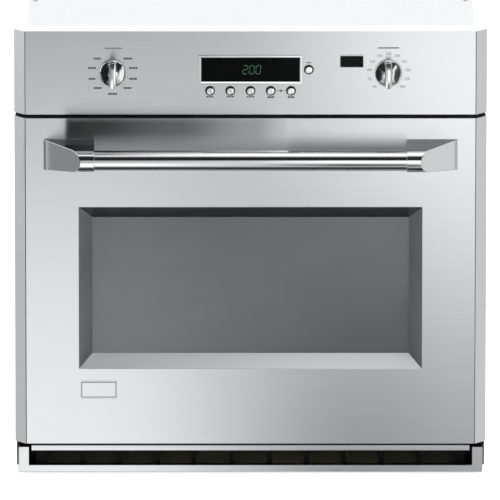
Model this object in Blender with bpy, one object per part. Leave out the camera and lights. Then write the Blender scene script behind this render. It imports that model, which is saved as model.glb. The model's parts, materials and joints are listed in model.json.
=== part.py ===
# A built-in electric wall oven with a drop-down door, as separate pieces.
# Sizes are in millimetres, and MM turns them to metres where a mesh or an object is made.
# x runs across the front, y into the cabinet and z up. y = 0 is the face of the cabinet,
# where the front frame's flange bears. The empty named oven then moves the whole object so
# that the origin is the middle of its underside.

import math

import bmesh
import bpy
from mathutils import Matrix, Vector

MM = 0.001
GAP = 0.3  # between pieces that meet
SHEET = 1.5  # steel sheet

# the object as a whole
HALF_WIDTH = 377.8
HEIGHT = 727.0
REAR = 573.6
COLLAR_FRONT = -116.4
BODY_HALF = 359.0
BODY_TOP = 712.0

# the front shells: a flat face whose sides flare outwards and back
FACE = -48.0
FACE_HALF = 360.6
FLARE_BACK = -28.0
PANEL_BOTTOM = 591.0
PANEL_BACK = -2.2
DOOR_BOTTOM = 50.0
DOOR_TOP = 585.0
DOOR_BACK = -11.0
LINER_BACK = -8.0

# the window: a recess with a 45 degree bevel round the outer glass
WINDOW_HALF = 274.9
WINDOW_TOP = DOOR_TOP - 145.4
WINDOW_TALL = 265.8
BEVEL = 21.5
GLASS_HALF = 262.0
GLASS_THICK = 4.0

# the handle
BAR_Y = -98.0
BAR_Z = DOOR_TOP - 58.0
BAR_R = 16.3
COLLAR_R = 18.4
COLLAR_X = 249.0
BRACKET_X = 331.0
BRACKET_SLOPE = 0.87

# the controls
KNOB_X = 220.0
KNOB_Z = HEIGHT - 68.0
KNOB_R = 21.75
SHAFT_R = 3.0
DISPLAY_HALF = 78.8
DISPLAY_TALL = 38.8
DISPLAY_Z = HEIGHT - 62.7
BEZEL = 4.0
BUTTON_R = 7.2
BUTTON_PITCH = 32.3
BUTTON_Z = HEIGHT - 96.9
SIDE_BUTTON_X = 93.0
SIDE_BUTTON_Z = HEIGHT - 62.3
INDICATOR_X = 161.5
INDICATOR_Z = HEIGHT - 48.5
INDICATOR_HALF = 17.0
INDICATOR_TALL = 16.6

# the door hinge
PIVOT_Y = -38.0
PIVOT_Z = 60.0
HINGE_LOW_X = 312.0
HINGE_HIGH_X = 320.0

# the cavity and what is in it
CAVITY_HALF = 310.0
CAVITY_FLOOR = 100.0
CAVITY_ROOF = 530.0
CAVITY_BACK = 500.3
CAVITY_WALL = 1.0
CORNER_R = 12.0
RACK_HALF = 300.0
RACK_FRONT = 15.0
RACK_BACK = 455.0
RACK_THICK = 6.0
RACK_LEVELS = [162.0 + 60.0 * level for level in range(5)]
LOWER_RACK_Z = RACK_LEVELS[1]
UPPER_RACK_Z = RACK_LEVELS[3]
FAN_Z = 315.0
FAN_R = 78.0

# the trim under the door
TRIM_FRONT = -34.0
TRIM_HALF = 373.0
TRIM_TOP = 44.0
SLOT_LOW = 12.4
SLOT_HIGH = 36.5
STRIP_HALF = 351.8
END_PIECE = 16.6
END_TOP = 41.0

# the latch and the door switch, over the cavity mouth
LATCH_Z = 565.0
SWITCH_X = 65.0

# the cooling blower
BLOWER_Y = 380.0
BLOWER_Z = 650.0
BLOWER_R = 38.0

# the gland of the supply conduit, on the top
GLAND_X = 250.0
GLAND_Y = 520.0
GLAND_R = 14.0

# colour, roughness and metallic value of each finish
FINISHES = {
    "brushed_steel": ((0.55, 0.57, 0.58), 0.30, 1.0),
    "polished_steel": ((0.72, 0.73, 0.74), 0.12, 1.0),
    "galvanised_steel": ((0.48, 0.50, 0.51), 0.45, 1.0),
    "black_steel": ((0.02, 0.02, 0.02), 0.50, 0.0),
    "enamel": ((0.03, 0.03, 0.04), 0.25, 0.0),
    "glass": ((0.16, 0.17, 0.18), 0.05, 0.0),
    "black_glass": ((0.01, 0.01, 0.01), 0.05, 0.0),
    "green_lens": ((0.03, 0.12, 0.07), 0.10, 0.0),
    "black_plastic": ((0.03, 0.03, 0.03), 0.45, 0.0),
    "circuit_board": ((0.03, 0.20, 0.08), 0.50, 0.0),
    "glass_wool": ((0.75, 0.68, 0.45), 0.95, 0.0),
    "woven_seal": ((0.12, 0.12, 0.12), 0.90, 0.0),
    "bright_wire": ((0.75, 0.75, 0.75), 0.20, 1.0),
    "heating_tube": ((0.10, 0.09, 0.08), 0.55, 0.6),
}


# ---- outlines and solids ----


def in_space(axis, along, first, second):
    """A point at a distance along one axis, with the other two in x, y, z order."""
    if axis == "x":
        return (along, first, second)
    if axis == "y":
        return (first, along, second)
    return (first, second, along)


def rectangle(low_a, high_a, low_b, high_b):
    return [(low_a, low_b), (high_a, low_b), (high_a, high_b), (low_a, high_b)]


def circle(a, b, radius, sides=16):
    turn = 2 * math.pi / sides
    return [(a + radius * math.cos(n * turn), b + radius * math.sin(n * turn)) for n in range(sides)]


def rounded_rectangle(low_a, high_a, low_b, high_b, radius, steps=3):
    points = []
    corners = [
        (high_a - radius, high_b - radius, 0),
        (low_a + radius, high_b - radius, 90),
        (low_a + radius, low_b + radius, 180),
        (high_a - radius, low_b + radius, 270),
    ]
    for a, b, start in corners:
        for n in range(steps + 1):
            angle = math.radians(start + 90 * n / steps)
            points.append((a + radius * math.cos(angle), b + radius * math.sin(angle)))
    return points


def loft(axis, sections):
    """A closed solid through outlines of equal length, each given with its place on the axis."""
    shape = bmesh.new()
    rings = []
    for along, outline in sections:
        rings.append([shape.verts.new(in_space(axis, along, a, b)) for a, b in outline])
    shape.faces.new(rings[0])
    shape.faces.new(rings[-1])
    for near, far in zip(rings, rings[1:]):
        for n in range(len(near)):
            after = (n + 1) % len(near)
            shape.faces.new((near[n], near[after], far[after], far[n]))
    bmesh.ops.recalc_face_normals(shape, faces=shape.faces)
    return shape


def prism(axis, outline, low, high):
    return loft(axis, [(low, outline), (high, outline)])


def box(low_x, high_x, low_y, high_y, low_z, high_z):
    return prism("z", rectangle(low_x, high_x, low_y, high_y), low_z, high_z)


def hull(points):
    shape = bmesh.new()
    corners = [shape.verts.new(p) for p in points]
    result = bmesh.ops.convex_hull(shape, input=corners)
    inside = [v for v in result["geom_interior"] if isinstance(v, bmesh.types.BMVert)]
    bmesh.ops.delete(shape, geom=inside, context="VERTS")
    bmesh.ops.recalc_face_normals(shape, faces=shape.faces)
    return shape


def several(shapes):
    """Solids that stand apart, as one mesh."""
    together = bmesh.new()
    for shape in shapes:
        piece = bpy.data.meshes.new("shape")
        shape.to_mesh(piece)
        together.from_mesh(piece)
        bpy.data.meshes.remove(piece)
    return together


def turned_about_y(shape, angle, a, b):
    """The shape turned about the line along y through x = a, z = b."""
    turn = Matrix.Rotation(angle, 3, "Y")
    bmesh.ops.rotate(shape, cent=(a, 0, b), matrix=turn, verts=shape.verts)
    return shape


# ---- objects in the scene ----


def start_scene():
    for old in list(bpy.data.objects):
        bpy.data.objects.remove(old, do_unlink=True)


def add_pivot(name, place, parent=None):
    """An empty at a place of the design frame, for pieces that move about it."""
    pivot = bpy.data.objects.new(name, None)
    pivot.empty_display_size = 0.05
    pivot.location = Vector(place) * MM
    pivot.parent = parent
    bpy.context.scene.collection.objects.link(pivot)
    return pivot


def add_material(name, finish):
    colour, roughness, metallic = FINISHES[finish]
    material = bpy.data.materials.new(name)
    material.use_nodes = True
    shader = material.node_tree.nodes["Principled BSDF"]
    shader.inputs["Base Color"].default_value = (*colour, 1.0)
    shader.inputs["Roughness"].default_value = roughness
    shader.inputs["Metallic"].default_value = metallic
    return material


def add_mesh_object(name, shape, pivot):
    """A mesh object from a shape in the design frame, with its origin on the pivot."""
    offset = Vector((0, 0, 0)) if pivot is OVEN else pivot.location / MM
    bmesh.ops.translate(shape, verts=shape.verts, vec=-offset)
    bmesh.ops.scale(shape, verts=shape.verts, vec=(MM, MM, MM))
    mesh = bpy.data.meshes.new(name)
    shape.to_mesh(mesh)
    shape.free()
    made = bpy.data.objects.new(name, mesh)
    made.parent = pivot
    bpy.context.scene.collection.objects.link(made)
    return made


def add_tool(piece, shape, operation, number):
    """A hidden solid that the piece is joined with, or cut by."""
    tool = add_mesh_object(f"{piece.name}_{operation.lower()}_{number}", shape, OVEN)
    tool.hide_render = True
    tool.display_type = "WIRE"
    modifier = piece.modifiers.new(tool.name, "BOOLEAN")
    modifier.operation = operation
    modifier.solver = "EXACT"
    modifier.object = tool


def add_piece(name, shape, finish, joined=(), cut=(), pivot=None, smooth=False):
    """One named piece: a shape, what is joined to it, and then what is cut from it."""
    piece = add_mesh_object(name, shape, pivot or OVEN)
    piece.data.materials.append(add_material(name, finish))
    for number, extra in enumerate(joined):
        add_tool(piece, extra, "UNION", number)
    for number, cutter in enumerate(cut):
        add_tool(piece, cutter, "DIFFERENCE", number)
    if smooth:
        piece.data.shade_smooth()
        piece.data.set_sharp_from_angle(angle=math.radians(35))
    return piece


def add_tube(name, points, radius, finish):
    """A heating element: a round tube along points, with closed ends."""
    curve = bpy.data.curves.new(name, "CURVE")
    curve.dimensions = "3D"
    curve.bevel_depth = radius * MM
    curve.bevel_resolution = 1
    curve.use_fill_caps = True
    spline = curve.splines.new("POLY")
    spline.points.add(len(points) - 1)
    for target, point in zip(spline.points, points):
        target.co = (*(Vector(point) * MM), 1.0)
    tube = bpy.data.objects.new(name, curve)
    curve.materials.append(add_material(name, finish))
    tube.parent = OVEN
    bpy.context.scene.collection.objects.link(tube)
    return tube


# ---- chassis ----


def make_casing():
    inner = BODY_HALF - SHEET
    pan_edge = inner - GAP
    top_low = BODY_TOP - SHEET
    side_back = REAR - SHEET - GAP
    pan = box(-pan_edge, pan_edge, 2.2, side_back - 2, 0, SHEET)
    pan_sides = [
        box(-pan_edge, SHEET - pan_edge, 2.2, side_back - 2, 0, 20),
        box(pan_edge - SHEET, pan_edge, 2.2, side_back - 2, 0, 20),
    ]
    add_piece("base_pan", pan, "galvanised_steel", joined=pan_sides)
    for side, name in ((-1, "side_panel_left"), (1, "side_panel_right")):
        outline = [
            (side * BODY_HALF, GAP),
            (side * BODY_HALF, side_back),
            (side * (inner - 12), side_back),
            (side * (inner - 12), side_back - SHEET),
            (side * inner, side_back - SHEET),
            (side * inner, GAP),
        ]
        add_piece(name, prism("z", outline, GAP, top_low - GAP), "galvanised_steel")
    top = box(-BODY_HALF, BODY_HALF, GAP, REAR, top_low, BODY_TOP)
    top_sides = [
        box(-pan_edge, SHEET - pan_edge, 2.2, side_back - 2, BODY_TOP - 20, BODY_TOP - 1),
        box(pan_edge - SHEET, pan_edge, 2.2, side_back - 2, BODY_TOP - 20, BODY_TOP - 1),
    ]
    gland_hole = prism("z", circle(GLAND_X, GLAND_Y, GLAND_R + GAP), top_low - 5, BODY_TOP + 5)
    add_piece("top_panel", top, "galvanised_steel", joined=top_sides, cut=[gland_hole])
    louvres = [
        box(x - 20, x + 20, side_back, REAR + 2, z - 2.5, z + 2.5)
        for x in range(-300, 301, 60)
        for z in (625, 645, 665, 685)
    ]
    rear = box(-BODY_HALF, BODY_HALF, REAR - SHEET, REAR, GAP, top_low - GAP)
    add_piece("rear_panel", rear, "galvanised_steel", cut=[several(louvres)])


def make_junction_box():
    shell = box(GLAND_X - 50, GLAND_X + 50, GLAND_Y - 40, GLAND_Y + 40, 640, BODY_TOP - SHEET - GAP)
    neck = prism("z", circle(GLAND_X, GLAND_Y, GLAND_R), 700, HEIGHT - 3)
    flange = prism("z", circle(GLAND_X, GLAND_Y, GLAND_R + 4), BODY_TOP + GAP, BODY_TOP + 4)
    conduit = prism("z", circle(GLAND_X, GLAND_Y, 10), 680, HEIGHT + 2)
    room = box(GLAND_X - 48.5, GLAND_X + 48.5, GLAND_Y - 38.5, GLAND_Y + 38.5, 630, BODY_TOP - 4)
    add_piece("junction_box", shell, "galvanised_steel", joined=[neck, flange], cut=[room, conduit])


def make_front_frame():
    plate = box(-TRIM_HALF - 3, TRIM_HALF + 3, -SHEET - 0.1, 0, 4, HEIGHT - 3)
    outline = rounded_rectangle(-CAVITY_HALF, CAVITY_HALF, CAVITY_FLOOR, CAVITY_ROOF, CORNER_R)
    holes = [
        prism("y", outline, -5, 5),
        box(-330, 330, -5, 5, 604, 700),
        box(-340, 340, -5, 5, 6, 36),
        box(-5, 18, -5, 5, LATCH_Z - 5, LATCH_Z + 5),
        prism("y", circle(SWITCH_X, LATCH_Z, 5.5, 12), -5, 5),
    ]
    for side in (-1, 1):
        low, high = sorted((side * (HINGE_LOW_X - 2), side * (HINGE_HIGH_X + 2)))
        holes.append(box(low, high, -5, 5, 50, 70))
    # the middle lies a little further forward, so only the flange bears on the cabinet
    middle = box(-BODY_HALF - 1.5, BODY_HALF + 1.5, -GAP, 5, 0, HEIGHT)
    add_piece("front_frame", plate, "brushed_steel", cut=[middle, several(holes)])


def make_insulation():
    blanket = box(-342, 342, 2.2, 532, 72, 562)
    room = CAVITY_HALF + CAVITY_WALL + 0.5
    cut = [
        box(-room, room, -5, CAVITY_BACK + 2, CAVITY_FLOOR - 2, CAVITY_ROOF + 2),
        box(-room - 11, room + 11, -5, 4, 87, 543),
        prism("y", circle(0, FAN_Z, 49), 480, 560),
        box(-30, 90, -5, 70, 546, 600),
    ]
    add_piece("insulation_blanket", blanket, "glass_wool", cut=cut)


def make_gasket():
    outer = rounded_rectangle(-326, 326, 84, 546, 20)
    inner = rounded_rectangle(-315, 315, 95, 535, 14)
    low = -SHEET - 0.1 - GAP
    high = LINER_BACK + GAP
    ring = prism("y", outer, high, low)
    add_piece("door_gasket", ring, "woven_seal", cut=[prism("y", inner, high - 5, low + 5)])


def make_vent_trim():
    back = -SHEET - 0.1 - GAP
    shell = box(-TRIM_HALF, TRIM_HALF, TRIM_FRONT, back, 0, TRIM_TOP)
    inside = box(-TRIM_HALF + SHEET, TRIM_HALF - SHEET, TRIM_FRONT + SHEET, 5, SHEET, TRIM_TOP - SHEET)
    end = TRIM_HALF - END_PIECE
    slots = [
        box(-STRIP_HALF, STRIP_HALF, TRIM_FRONT - 5, TRIM_FRONT + 5, SLOT_LOW, SLOT_HIGH),
        box(-end, -STRIP_HALF - 0.01, TRIM_FRONT - 5, TRIM_FRONT + 8, SLOT_LOW, TRIM_TOP + 5),
        box(STRIP_HALF + 0.01, end, TRIM_FRONT - 5, TRIM_FRONT + 8, SLOT_LOW, TRIM_TOP + 5),
        box(-TRIM_HALF - 5, 0.5 - end, TRIM_FRONT - 5, 5, END_TOP, TRIM_TOP + 5),
        box(end - 0.5, TRIM_HALF + 5, TRIM_FRONT - 5, 5, END_TOP, TRIM_TOP + 5),
    ]
    add_piece("vent_trim", shell, "brushed_steel", cut=[inside, *slots])
    grille = box(-345, 345, -22, -20, 3, 41)
    bars = [box(x - 26, x + 26, -30, -10, 8, 36) for x in range(-300, 301, 60)]
    add_piece("vent_grille", grille, "black_steel", cut=[several(bars)])


def make_hinge_receivers():
    for side, name in ((-1, "hinge_receiver_left"), (1, "hinge_receiver_right")):
        eye = [
            (PIVOT_Y + 8 * math.cos(math.radians(a)), PIVOT_Z + 8 * math.sin(math.radians(a)))
            for a in range(90, 271, 30)
        ]
        low, high = sorted((side * HINGE_LOW_X, side * HINGE_HIGH_X))
        arm = prism("x", [*eye, (80, PIVOT_Z - 8), (80, PIVOT_Z + 8)], low, high)
        pocket_low, pocket_high = sorted((side * (HINGE_LOW_X - 6), side * (HINGE_HIGH_X + 6)))
        pocket = box(pocket_low, pocket_high, 2, 90, 48, 71.5)
        hole = prism("x", circle(PIVOT_Y, PIVOT_Z, 5.2, 12), low - 5, high + 5)
        add_piece(name, arm, "galvanised_steel", joined=[pocket], cut=[hole])


# ---- cavity ----


def make_cavity():
    outer_half = CAVITY_HALF + CAVITY_WALL
    low, high = CAVITY_FLOOR - CAVITY_WALL, CAVITY_ROOF + CAVITY_WALL
    outer = rounded_rectangle(-outer_half, outer_half, low, high, CORNER_R + CAVITY_WALL)
    inner = rounded_rectangle(-CAVITY_HALF, CAVITY_HALF, CAVITY_FLOOR, CAVITY_ROOF, CORNER_R)
    shell = prism("y", outer, GAP, CAVITY_BACK + CAVITY_WALL)
    flange = box(-outer_half - 10, outer_half + 10, GAP, GAP + CAVITY_WALL, low - 10, high + 10)
    cut = [
        prism("y", inner, -10, CAVITY_BACK),
        prism("y", circle(0, FAN_Z, 8, 12), 480, 520),
    ]
    add_piece("oven_cavity", shell, "enamel", joined=[flange], cut=cut)


def make_rack_guides():
    for side, name in ((-1, "rack_guide_left"), (1, "rack_guide_right")):
        low, high = sorted((side * 304, side * 307))
        ladder = box(low, high, 30, 470, 140, 490)
        windows = [
            box(low - 5, high + 5, front, front + 205, level + 6, level + 46)
            for level in RACK_LEVELS
            for front in (40, 255)
        ]
        rail_low, rail_high = sorted((side * 288, side * 305))
        rails = [box(rail_low, rail_high, 40, 460, level - 4.3, level - GAP) for level in RACK_LEVELS]
        add_piece(name, ladder, "bright_wire", joined=[several(rails)], cut=[several(windows)])


def make_racks():
    for name, level in (("rack_lower", LOWER_RACK_Z), ("rack_upper", UPPER_RACK_Z)):
        plate = box(-RACK_HALF, RACK_HALF, RACK_FRONT, RACK_BACK, level, level + RACK_THICK)
        pitch = (2 * RACK_HALF - 20) / 9
        windows = [
            box(x, x + pitch - 6, RACK_FRONT + 10, RACK_BACK - 10, level - 5, level + RACK_THICK + 5)
            for x in (3 - RACK_HALF + 10 + n * pitch for n in range(9))
        ]
        add_piece(name, plate, "bright_wire", cut=[several(windows)])


def rounded_route(corners, radius, steps=3):
    """Points along straight runs, with each inner corner turned by a short arc."""
    route = [Vector(corners[0])]
    for before, corner, after in zip(corners, corners[1:], corners[2:]):
        here = Vector(corner)
        start = here + (Vector(before) - here).normalized() * radius
        end = here + (Vector(after) - here).normalized() * radius
        for n in range(steps + 1):
            t = n / steps
            route.append(start.lerp(here, t).lerp(here.lerp(end, t), t))
    route.append(Vector(corners[-1]))
    return route


def make_elements():
    for name, height, reach, front in (("broil_element", 505, 220, 80), ("bake_element", 118, 240, 70)):
        half = [
            (55, CAVITY_BACK - 0.8, height),
            (55, 430, height),
            (reach, 430, height),
            (reach, front, height),
            (reach / 2, front, height),
            (reach / 2, 370, height),
        ]
        mirrored = [(-x, y, z) for x, y, z in reversed(half)]
        add_tube(name, rounded_route([*half, *mirrored], 24), 3.5, "heating_tube")
    ring = [
        (105 * math.sin(math.radians(a)), 482, FAN_Z - 105 * math.cos(math.radians(a)))
        for a in range(20, 341, 16)
    ]
    first, last = ring[0], ring[-1]
    ends = [(p[0], CAVITY_BACK - 0.8, p[2]) for p in (first, last)]
    add_tube("convection_element", [ends[0], *ring, ends[1]], 3.5, "heating_tube")


def make_fan():
    tray_outline = rounded_rectangle(-190, 190, FAN_Z - 150, FAN_Z + 150, 15)
    inner_outline = rounded_rectangle(-188.5, 188.5, FAN_Z - 148.5, FAN_Z + 148.5, 13.5)
    slots = []
    for n in range(12):
        slot = box(-4, 4, 455, 468, FAN_Z + 22, FAN_Z + 70)
        slots.append(turned_about_y(slot, n * math.pi / 6, 0, FAN_Z))
    vents = [box(-200, 200, 472, 492, z, z + 22) for z in (190, 225, 383, 418)]
    cut = [prism("y", inner_outline, 463.5, 505), several(slots), several(vents)]
    add_piece("fan_cover", prism("y", tray_outline, 462, CAVITY_BACK - GAP), "enamel", cut=cut)

    pivot = add_pivot("convection_fan_axis", (0, 490, FAN_Z), OVEN)
    disc = prism("y", circle(0, FAN_Z, FAN_R, 24), 493, 494.5)
    hub = prism("y", circle(0, FAN_Z, 4, 12), 470, 515)
    blades = []
    for n in range(8):
        blade = box(-0.8, 0.8, 474, 493.5, FAN_Z + 22, FAN_Z + FAN_R - 3)
        blades.append(turned_about_y(blade, n * math.pi / 4, 0, FAN_Z))
    add_piece("convection_fan", disc, "galvanised_steel", joined=[hub, several(blades)], pivot=pivot)

    motor = prism("y", circle(0, FAN_Z, 46, 20), 502.2, 505)
    can = prism("y", circle(0, FAN_Z, 40, 20), 503, 560)
    bore = prism("y", circle(0, FAN_Z, 6, 12), 495, 520)
    add_piece("convection_fan_motor", motor, "galvanised_steel", joined=[can], cut=[bore])


def make_lamp_and_probe():
    back = CAVITY_BACK - 0.4
    sections = [(back, 28), (back - 8, 27), (back - 14, 20), (back - 17, 8)]
    lens = loft("y", [(y, circle(245, 470, radius, 14)) for y, radius in sections])
    add_piece("lamp_lens", lens, "glass", smooth=True)
    sections = [(380, 3), (back - 3, 3), (back - 2.9, 11), (back, 11)]
    probe = loft("y", [(y, circle(-262, 512, radius, 10)) for y, radius in sections])
    add_piece("temperature_probe", probe, "polished_steel")


# ---- latch and switch over the mouth ----


def make_latch():
    housing = box(-22, 34, 2.2, 60, LATCH_Z - 13, LATCH_Z + 13)
    channel = box(-4.5, 13, -5, 32, LATCH_Z - 4, LATCH_Z + 4)
    add_piece("latch_housing", housing, "galvanised_steel", cut=[channel])
    pivot = add_pivot("latch_slide", (0, 0, LATCH_Z), OVEN)
    outline = [(-3, 25), (3, 25), (3, -17), (9, -17), (9, -20), (-3, -20)]
    add_piece("latch_hook", prism("z", outline, LATCH_Z - 3, LATCH_Z + 3), "polished_steel", pivot=pivot)

    body = box(SWITCH_X - 15, SWITCH_X + 15, 2.2, 40, LATCH_Z - 13, LATCH_Z + 13)
    bore = prism("y", circle(SWITCH_X, LATCH_Z, 4.6, 12), -5, 34)
    add_piece("door_switch", body, "black_plastic", cut=[bore])
    pivot = add_pivot("switch_slide", (SWITCH_X, 0, LATCH_Z), OVEN)
    plunger = prism("y", circle(SWITCH_X, LATCH_Z, 3.5, 12), LINER_BACK + GAP, 26)
    add_piece("switch_plunger", plunger, "black_plastic", pivot=pivot)


# ---- cooling blower ----


def make_blower():
    low, high = BLOWER_Z - 48, BLOWER_Z + 48
    shell = box(-70, 70, BLOWER_Y - 50, BLOWER_Y + 50, low, high)
    cut = [
        box(-68.5, 68.5, BLOWER_Y - 48.5, BLOWER_Y + 48.5, low + 1.5, high - 1.5),
        prism("x", circle(BLOWER_Y, BLOWER_Z, 33), -80, -60),
        prism("x", circle(BLOWER_Y, BLOWER_Z, 8, 12), 60, 80),
        box(-60, 60, BLOWER_Y - 60, BLOWER_Y - 40, low + 6, low + 40),
    ]
    add_piece("blower_housing", shell, "galvanised_steel", cut=cut)
    pivot = add_pivot("blower_axis", (0, BLOWER_Y, BLOWER_Z), OVEN)
    hub = prism("x", circle(BLOWER_Y, BLOWER_Z, 4, 12), -58, 90)
    discs = [prism("x", circle(BLOWER_Y, BLOWER_Z, BLOWER_R, 18), x, x + 2) for x in (-56, 54)]
    vanes = []
    for n in range(10):
        angle = n * math.pi / 5
        vane = box(-55, 55, BLOWER_Y - 0.8, BLOWER_Y + 0.8, BLOWER_Z + 28, BLOWER_Z + BLOWER_R - 2)
        bmesh.ops.rotate(
            vane, cent=(0, BLOWER_Y, BLOWER_Z), matrix=Matrix.Rotation(angle, 3, "X"), verts=vane.verts
        )
        vanes.append(vane)
    add_piece("blower_wheel", hub, "galvanised_steel", joined=[several(discs), several(vanes)], pivot=pivot)
    motor = prism("x", circle(BLOWER_Y, BLOWER_Z, 28, 16), 72, 125)
    bore = prism("x", circle(BLOWER_Y, BLOWER_Z, 6, 12), 65, 95)
    add_piece("blower_motor", motor, "galvanised_steel", cut=[bore])


# ---- control panel ----


def flared_outline(inset, back):
    """Plan of a front shell, or of its hollow, which lies a sheet's thickness further in."""
    tuck = 0.45 * inset
    right = [
        (FACE_HALF - tuck, FACE + inset),
        (HALF_WIDTH - inset, FLARE_BACK + tuck),
        (HALF_WIDTH - inset, back),
    ]
    return right + [(-x, y) for x, y in reversed(right)]


def knob_shape(x):
    """A round base with a low dome, as rings along y."""
    sections = [(FACE - GAP, KNOB_R), (FACE - 5, KNOB_R), (FACE - 7, KNOB_R - 2), (FACE - 8, KNOB_R - 7)]
    return loft("y", [(y, circle(x, KNOB_Z, radius, 24)) for y, radius in sections])


def knob_blade(x):
    """The upright grip across the base, a little narrower at its front."""
    back, front = FACE - 6.5, FACE - 25
    wide = rounded_rectangle(x - 5.4, x + 5.4, KNOB_Z - 21, KNOB_Z + 21, 4, 2)
    narrow = rounded_rectangle(x - 4.35, x + 4.35, KNOB_Z - 19, KNOB_Z + 19, 3.5, 2)
    return loft("y", [(back, wide), (front, narrow)])


def make_knobs():
    for name, switch, x in (
        ("mode_knob", "mode_switch", -KNOB_X),
        ("temperature_knob", "temperature_switch", KNOB_X),
    ):
        pivot = add_pivot(f"{name}_axis", (x, FACE, KNOB_Z), OVEN)
        shaft = prism("y", circle(x, KNOB_Z, SHAFT_R, 12), FACE - 5, FACE + 22)
        add_piece(
            name, knob_shape(x), "polished_steel", joined=[knob_blade(x), shaft], pivot=pivot, smooth=True
        )
        body = box(x - 18, x + 18, FACE + SHEET + GAP, FACE + 28, KNOB_Z - 18, KNOB_Z + 18)
        bore = prism("y", circle(x, KNOB_Z, 4.2, 12), FACE - 5, FACE + 24)
        add_piece(switch, body, "black_plastic", cut=[bore])


def button_places():
    row = [(f"button_{n + 1}", (n - 2) * BUTTON_PITCH, BUTTON_Z) for n in range(5)]
    return [*row, ("button_6", SIDE_BUTTON_X, SIDE_BUTTON_Z)]


def make_buttons():
    for name, x, z in button_places():
        pivot = add_pivot(f"{name}_slide", (x, FACE, z), OVEN)
        shape = prism("y", circle(x, z, BUTTON_R), FACE - 2.7, FACE + 10)
        add_piece(name, shape, "polished_steel", pivot=pivot, smooth=True)


def make_control_panel():
    shell = prism("z", flared_outline(0, PANEL_BACK), PANEL_BOTTOM, HEIGHT)
    hollow = prism("z", flared_outline(SHEET, 5), PANEL_BOTTOM + SHEET, HEIGHT - SHEET)
    half_tall = DISPLAY_TALL / 2
    low_z, high_z = DISPLAY_Z - half_tall, DISPLAY_Z + half_tall
    holes = [box(-DISPLAY_HALF - 0.5, DISPLAY_HALF + 0.5, -60, -40, low_z - 0.5, high_z + 0.5)]
    holes += [prism("y", circle(x, KNOB_Z, 5, 12), -60, -40) for x in (-KNOB_X, KNOB_X)]
    holes += [prism("y", circle(x, z, BUTTON_R + 0.4), -60, -40) for _, x, z in button_places()]
    low_x, high_x = INDICATOR_X - INDICATOR_HALF, INDICATOR_X + INDICATOR_HALF
    low, high = INDICATOR_Z - INDICATOR_TALL / 2, INDICATOR_Z + INDICATOR_TALL / 2
    holes.append(box(low_x - GAP, high_x + GAP, -60, -40, low - GAP, high + GAP))
    add_piece("control_panel", shell, "brushed_steel", cut=[hollow, several(holes)])
    add_piece("indicator_window", box(low_x, high_x, FACE - 0.8, FACE + 2, low, high), "green_lens")

    window = box(-DISPLAY_HALF, DISPLAY_HALF, FACE - 1, FACE + 2.5, low_z, high_z)
    add_piece("display_window", window, "black_glass")
    outer = rectangle(-DISPLAY_HALF - BEZEL, DISPLAY_HALF + BEZEL, low_z - BEZEL, high_z + BEZEL)
    mouth = rectangle(-DISPLAY_HALF - GAP, DISPLAY_HALF + GAP, low_z - GAP, high_z + GAP)
    ring = prism("y", outer, FACE - 2.3, FACE - GAP)
    add_piece("display_bezel", ring, "brushed_steel", cut=[prism("y", mouth, FACE - 8, FACE + 5)])
    add_piece("control_board", box(-190, 190, FACE + 18, FACE + 20, 604, 714), "circuit_board")


# ---- door ----


def recess(extra, front, back):
    """The window recess as a solid: 45 degree sides, larger all round by extra."""
    middle = WINDOW_TOP - WINDOW_TALL / 2
    sections = []
    for y in (front, back):
        narrowing = y - FACE
        half_wide = WINDOW_HALF - narrowing + extra
        half_tall = WINDOW_TALL / 2 - narrowing + extra
        sections.append((y, rectangle(-half_wide, half_wide, middle - half_tall, middle + half_tall)))
    return loft("y", sections)


def hinge_notch(side, low_y, high_y):
    low, high = sorted((side * (HINGE_LOW_X - 3), side * (HINGE_HIGH_X + 3)))
    return box(low, high, low_y, high_y, DOOR_BOTTOM - 5, PIVOT_Z + 12)


def make_door_shells(pivot):
    shell = prism("z", flared_outline(0, DOOR_BACK), DOOR_BOTTOM, DOOR_TOP)
    hollow = prism("z", flared_outline(SHEET, 5), DOOR_BOTTOM + SHEET, DOOR_TOP - SHEET)
    bevel_back = FACE + BEVEL
    funnel = recess(SHEET * math.sqrt(2), FACE + 1, bevel_back)
    opening = recess(0, FACE - 1, bevel_back + 0.5)
    piece = add_piece("door_skin", shell, "brushed_steel", pivot=pivot)
    add_tool(piece, hollow, "DIFFERENCE", 0)
    add_tool(piece, funnel, "UNION", 1)
    add_tool(piece, opening, "DIFFERENCE", 2)
    notches = several([hinge_notch(side, FACE + SHEET, 5) for side in (-1, 1)])
    add_tool(piece, notches, "DIFFERENCE", 3)

    edge = HALF_WIDTH - SHEET - GAP
    low, high = DOOR_BOTTOM + SHEET + GAP, DOOR_TOP - SHEET - GAP
    plate = box(-edge, edge, LINER_BACK - 9.6, LINER_BACK, low, high)
    cut = [
        box(-edge + 1.5, edge - 1.5, LINER_BACK - 15, LINER_BACK - 1.6, low + 1.5, high - 1.5),
        prism("y", rounded_rectangle(-235, 235, 200, 415, 12), -20, 5),
        box(-6, 12, -20, 5, LATCH_Z - 6, LATCH_Z + 6),
        several([hinge_notch(side, -30, 5) for side in (-1, 1)]),
    ]
    add_piece("door_liner", plate, "enamel", cut=cut, pivot=pivot)


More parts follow.
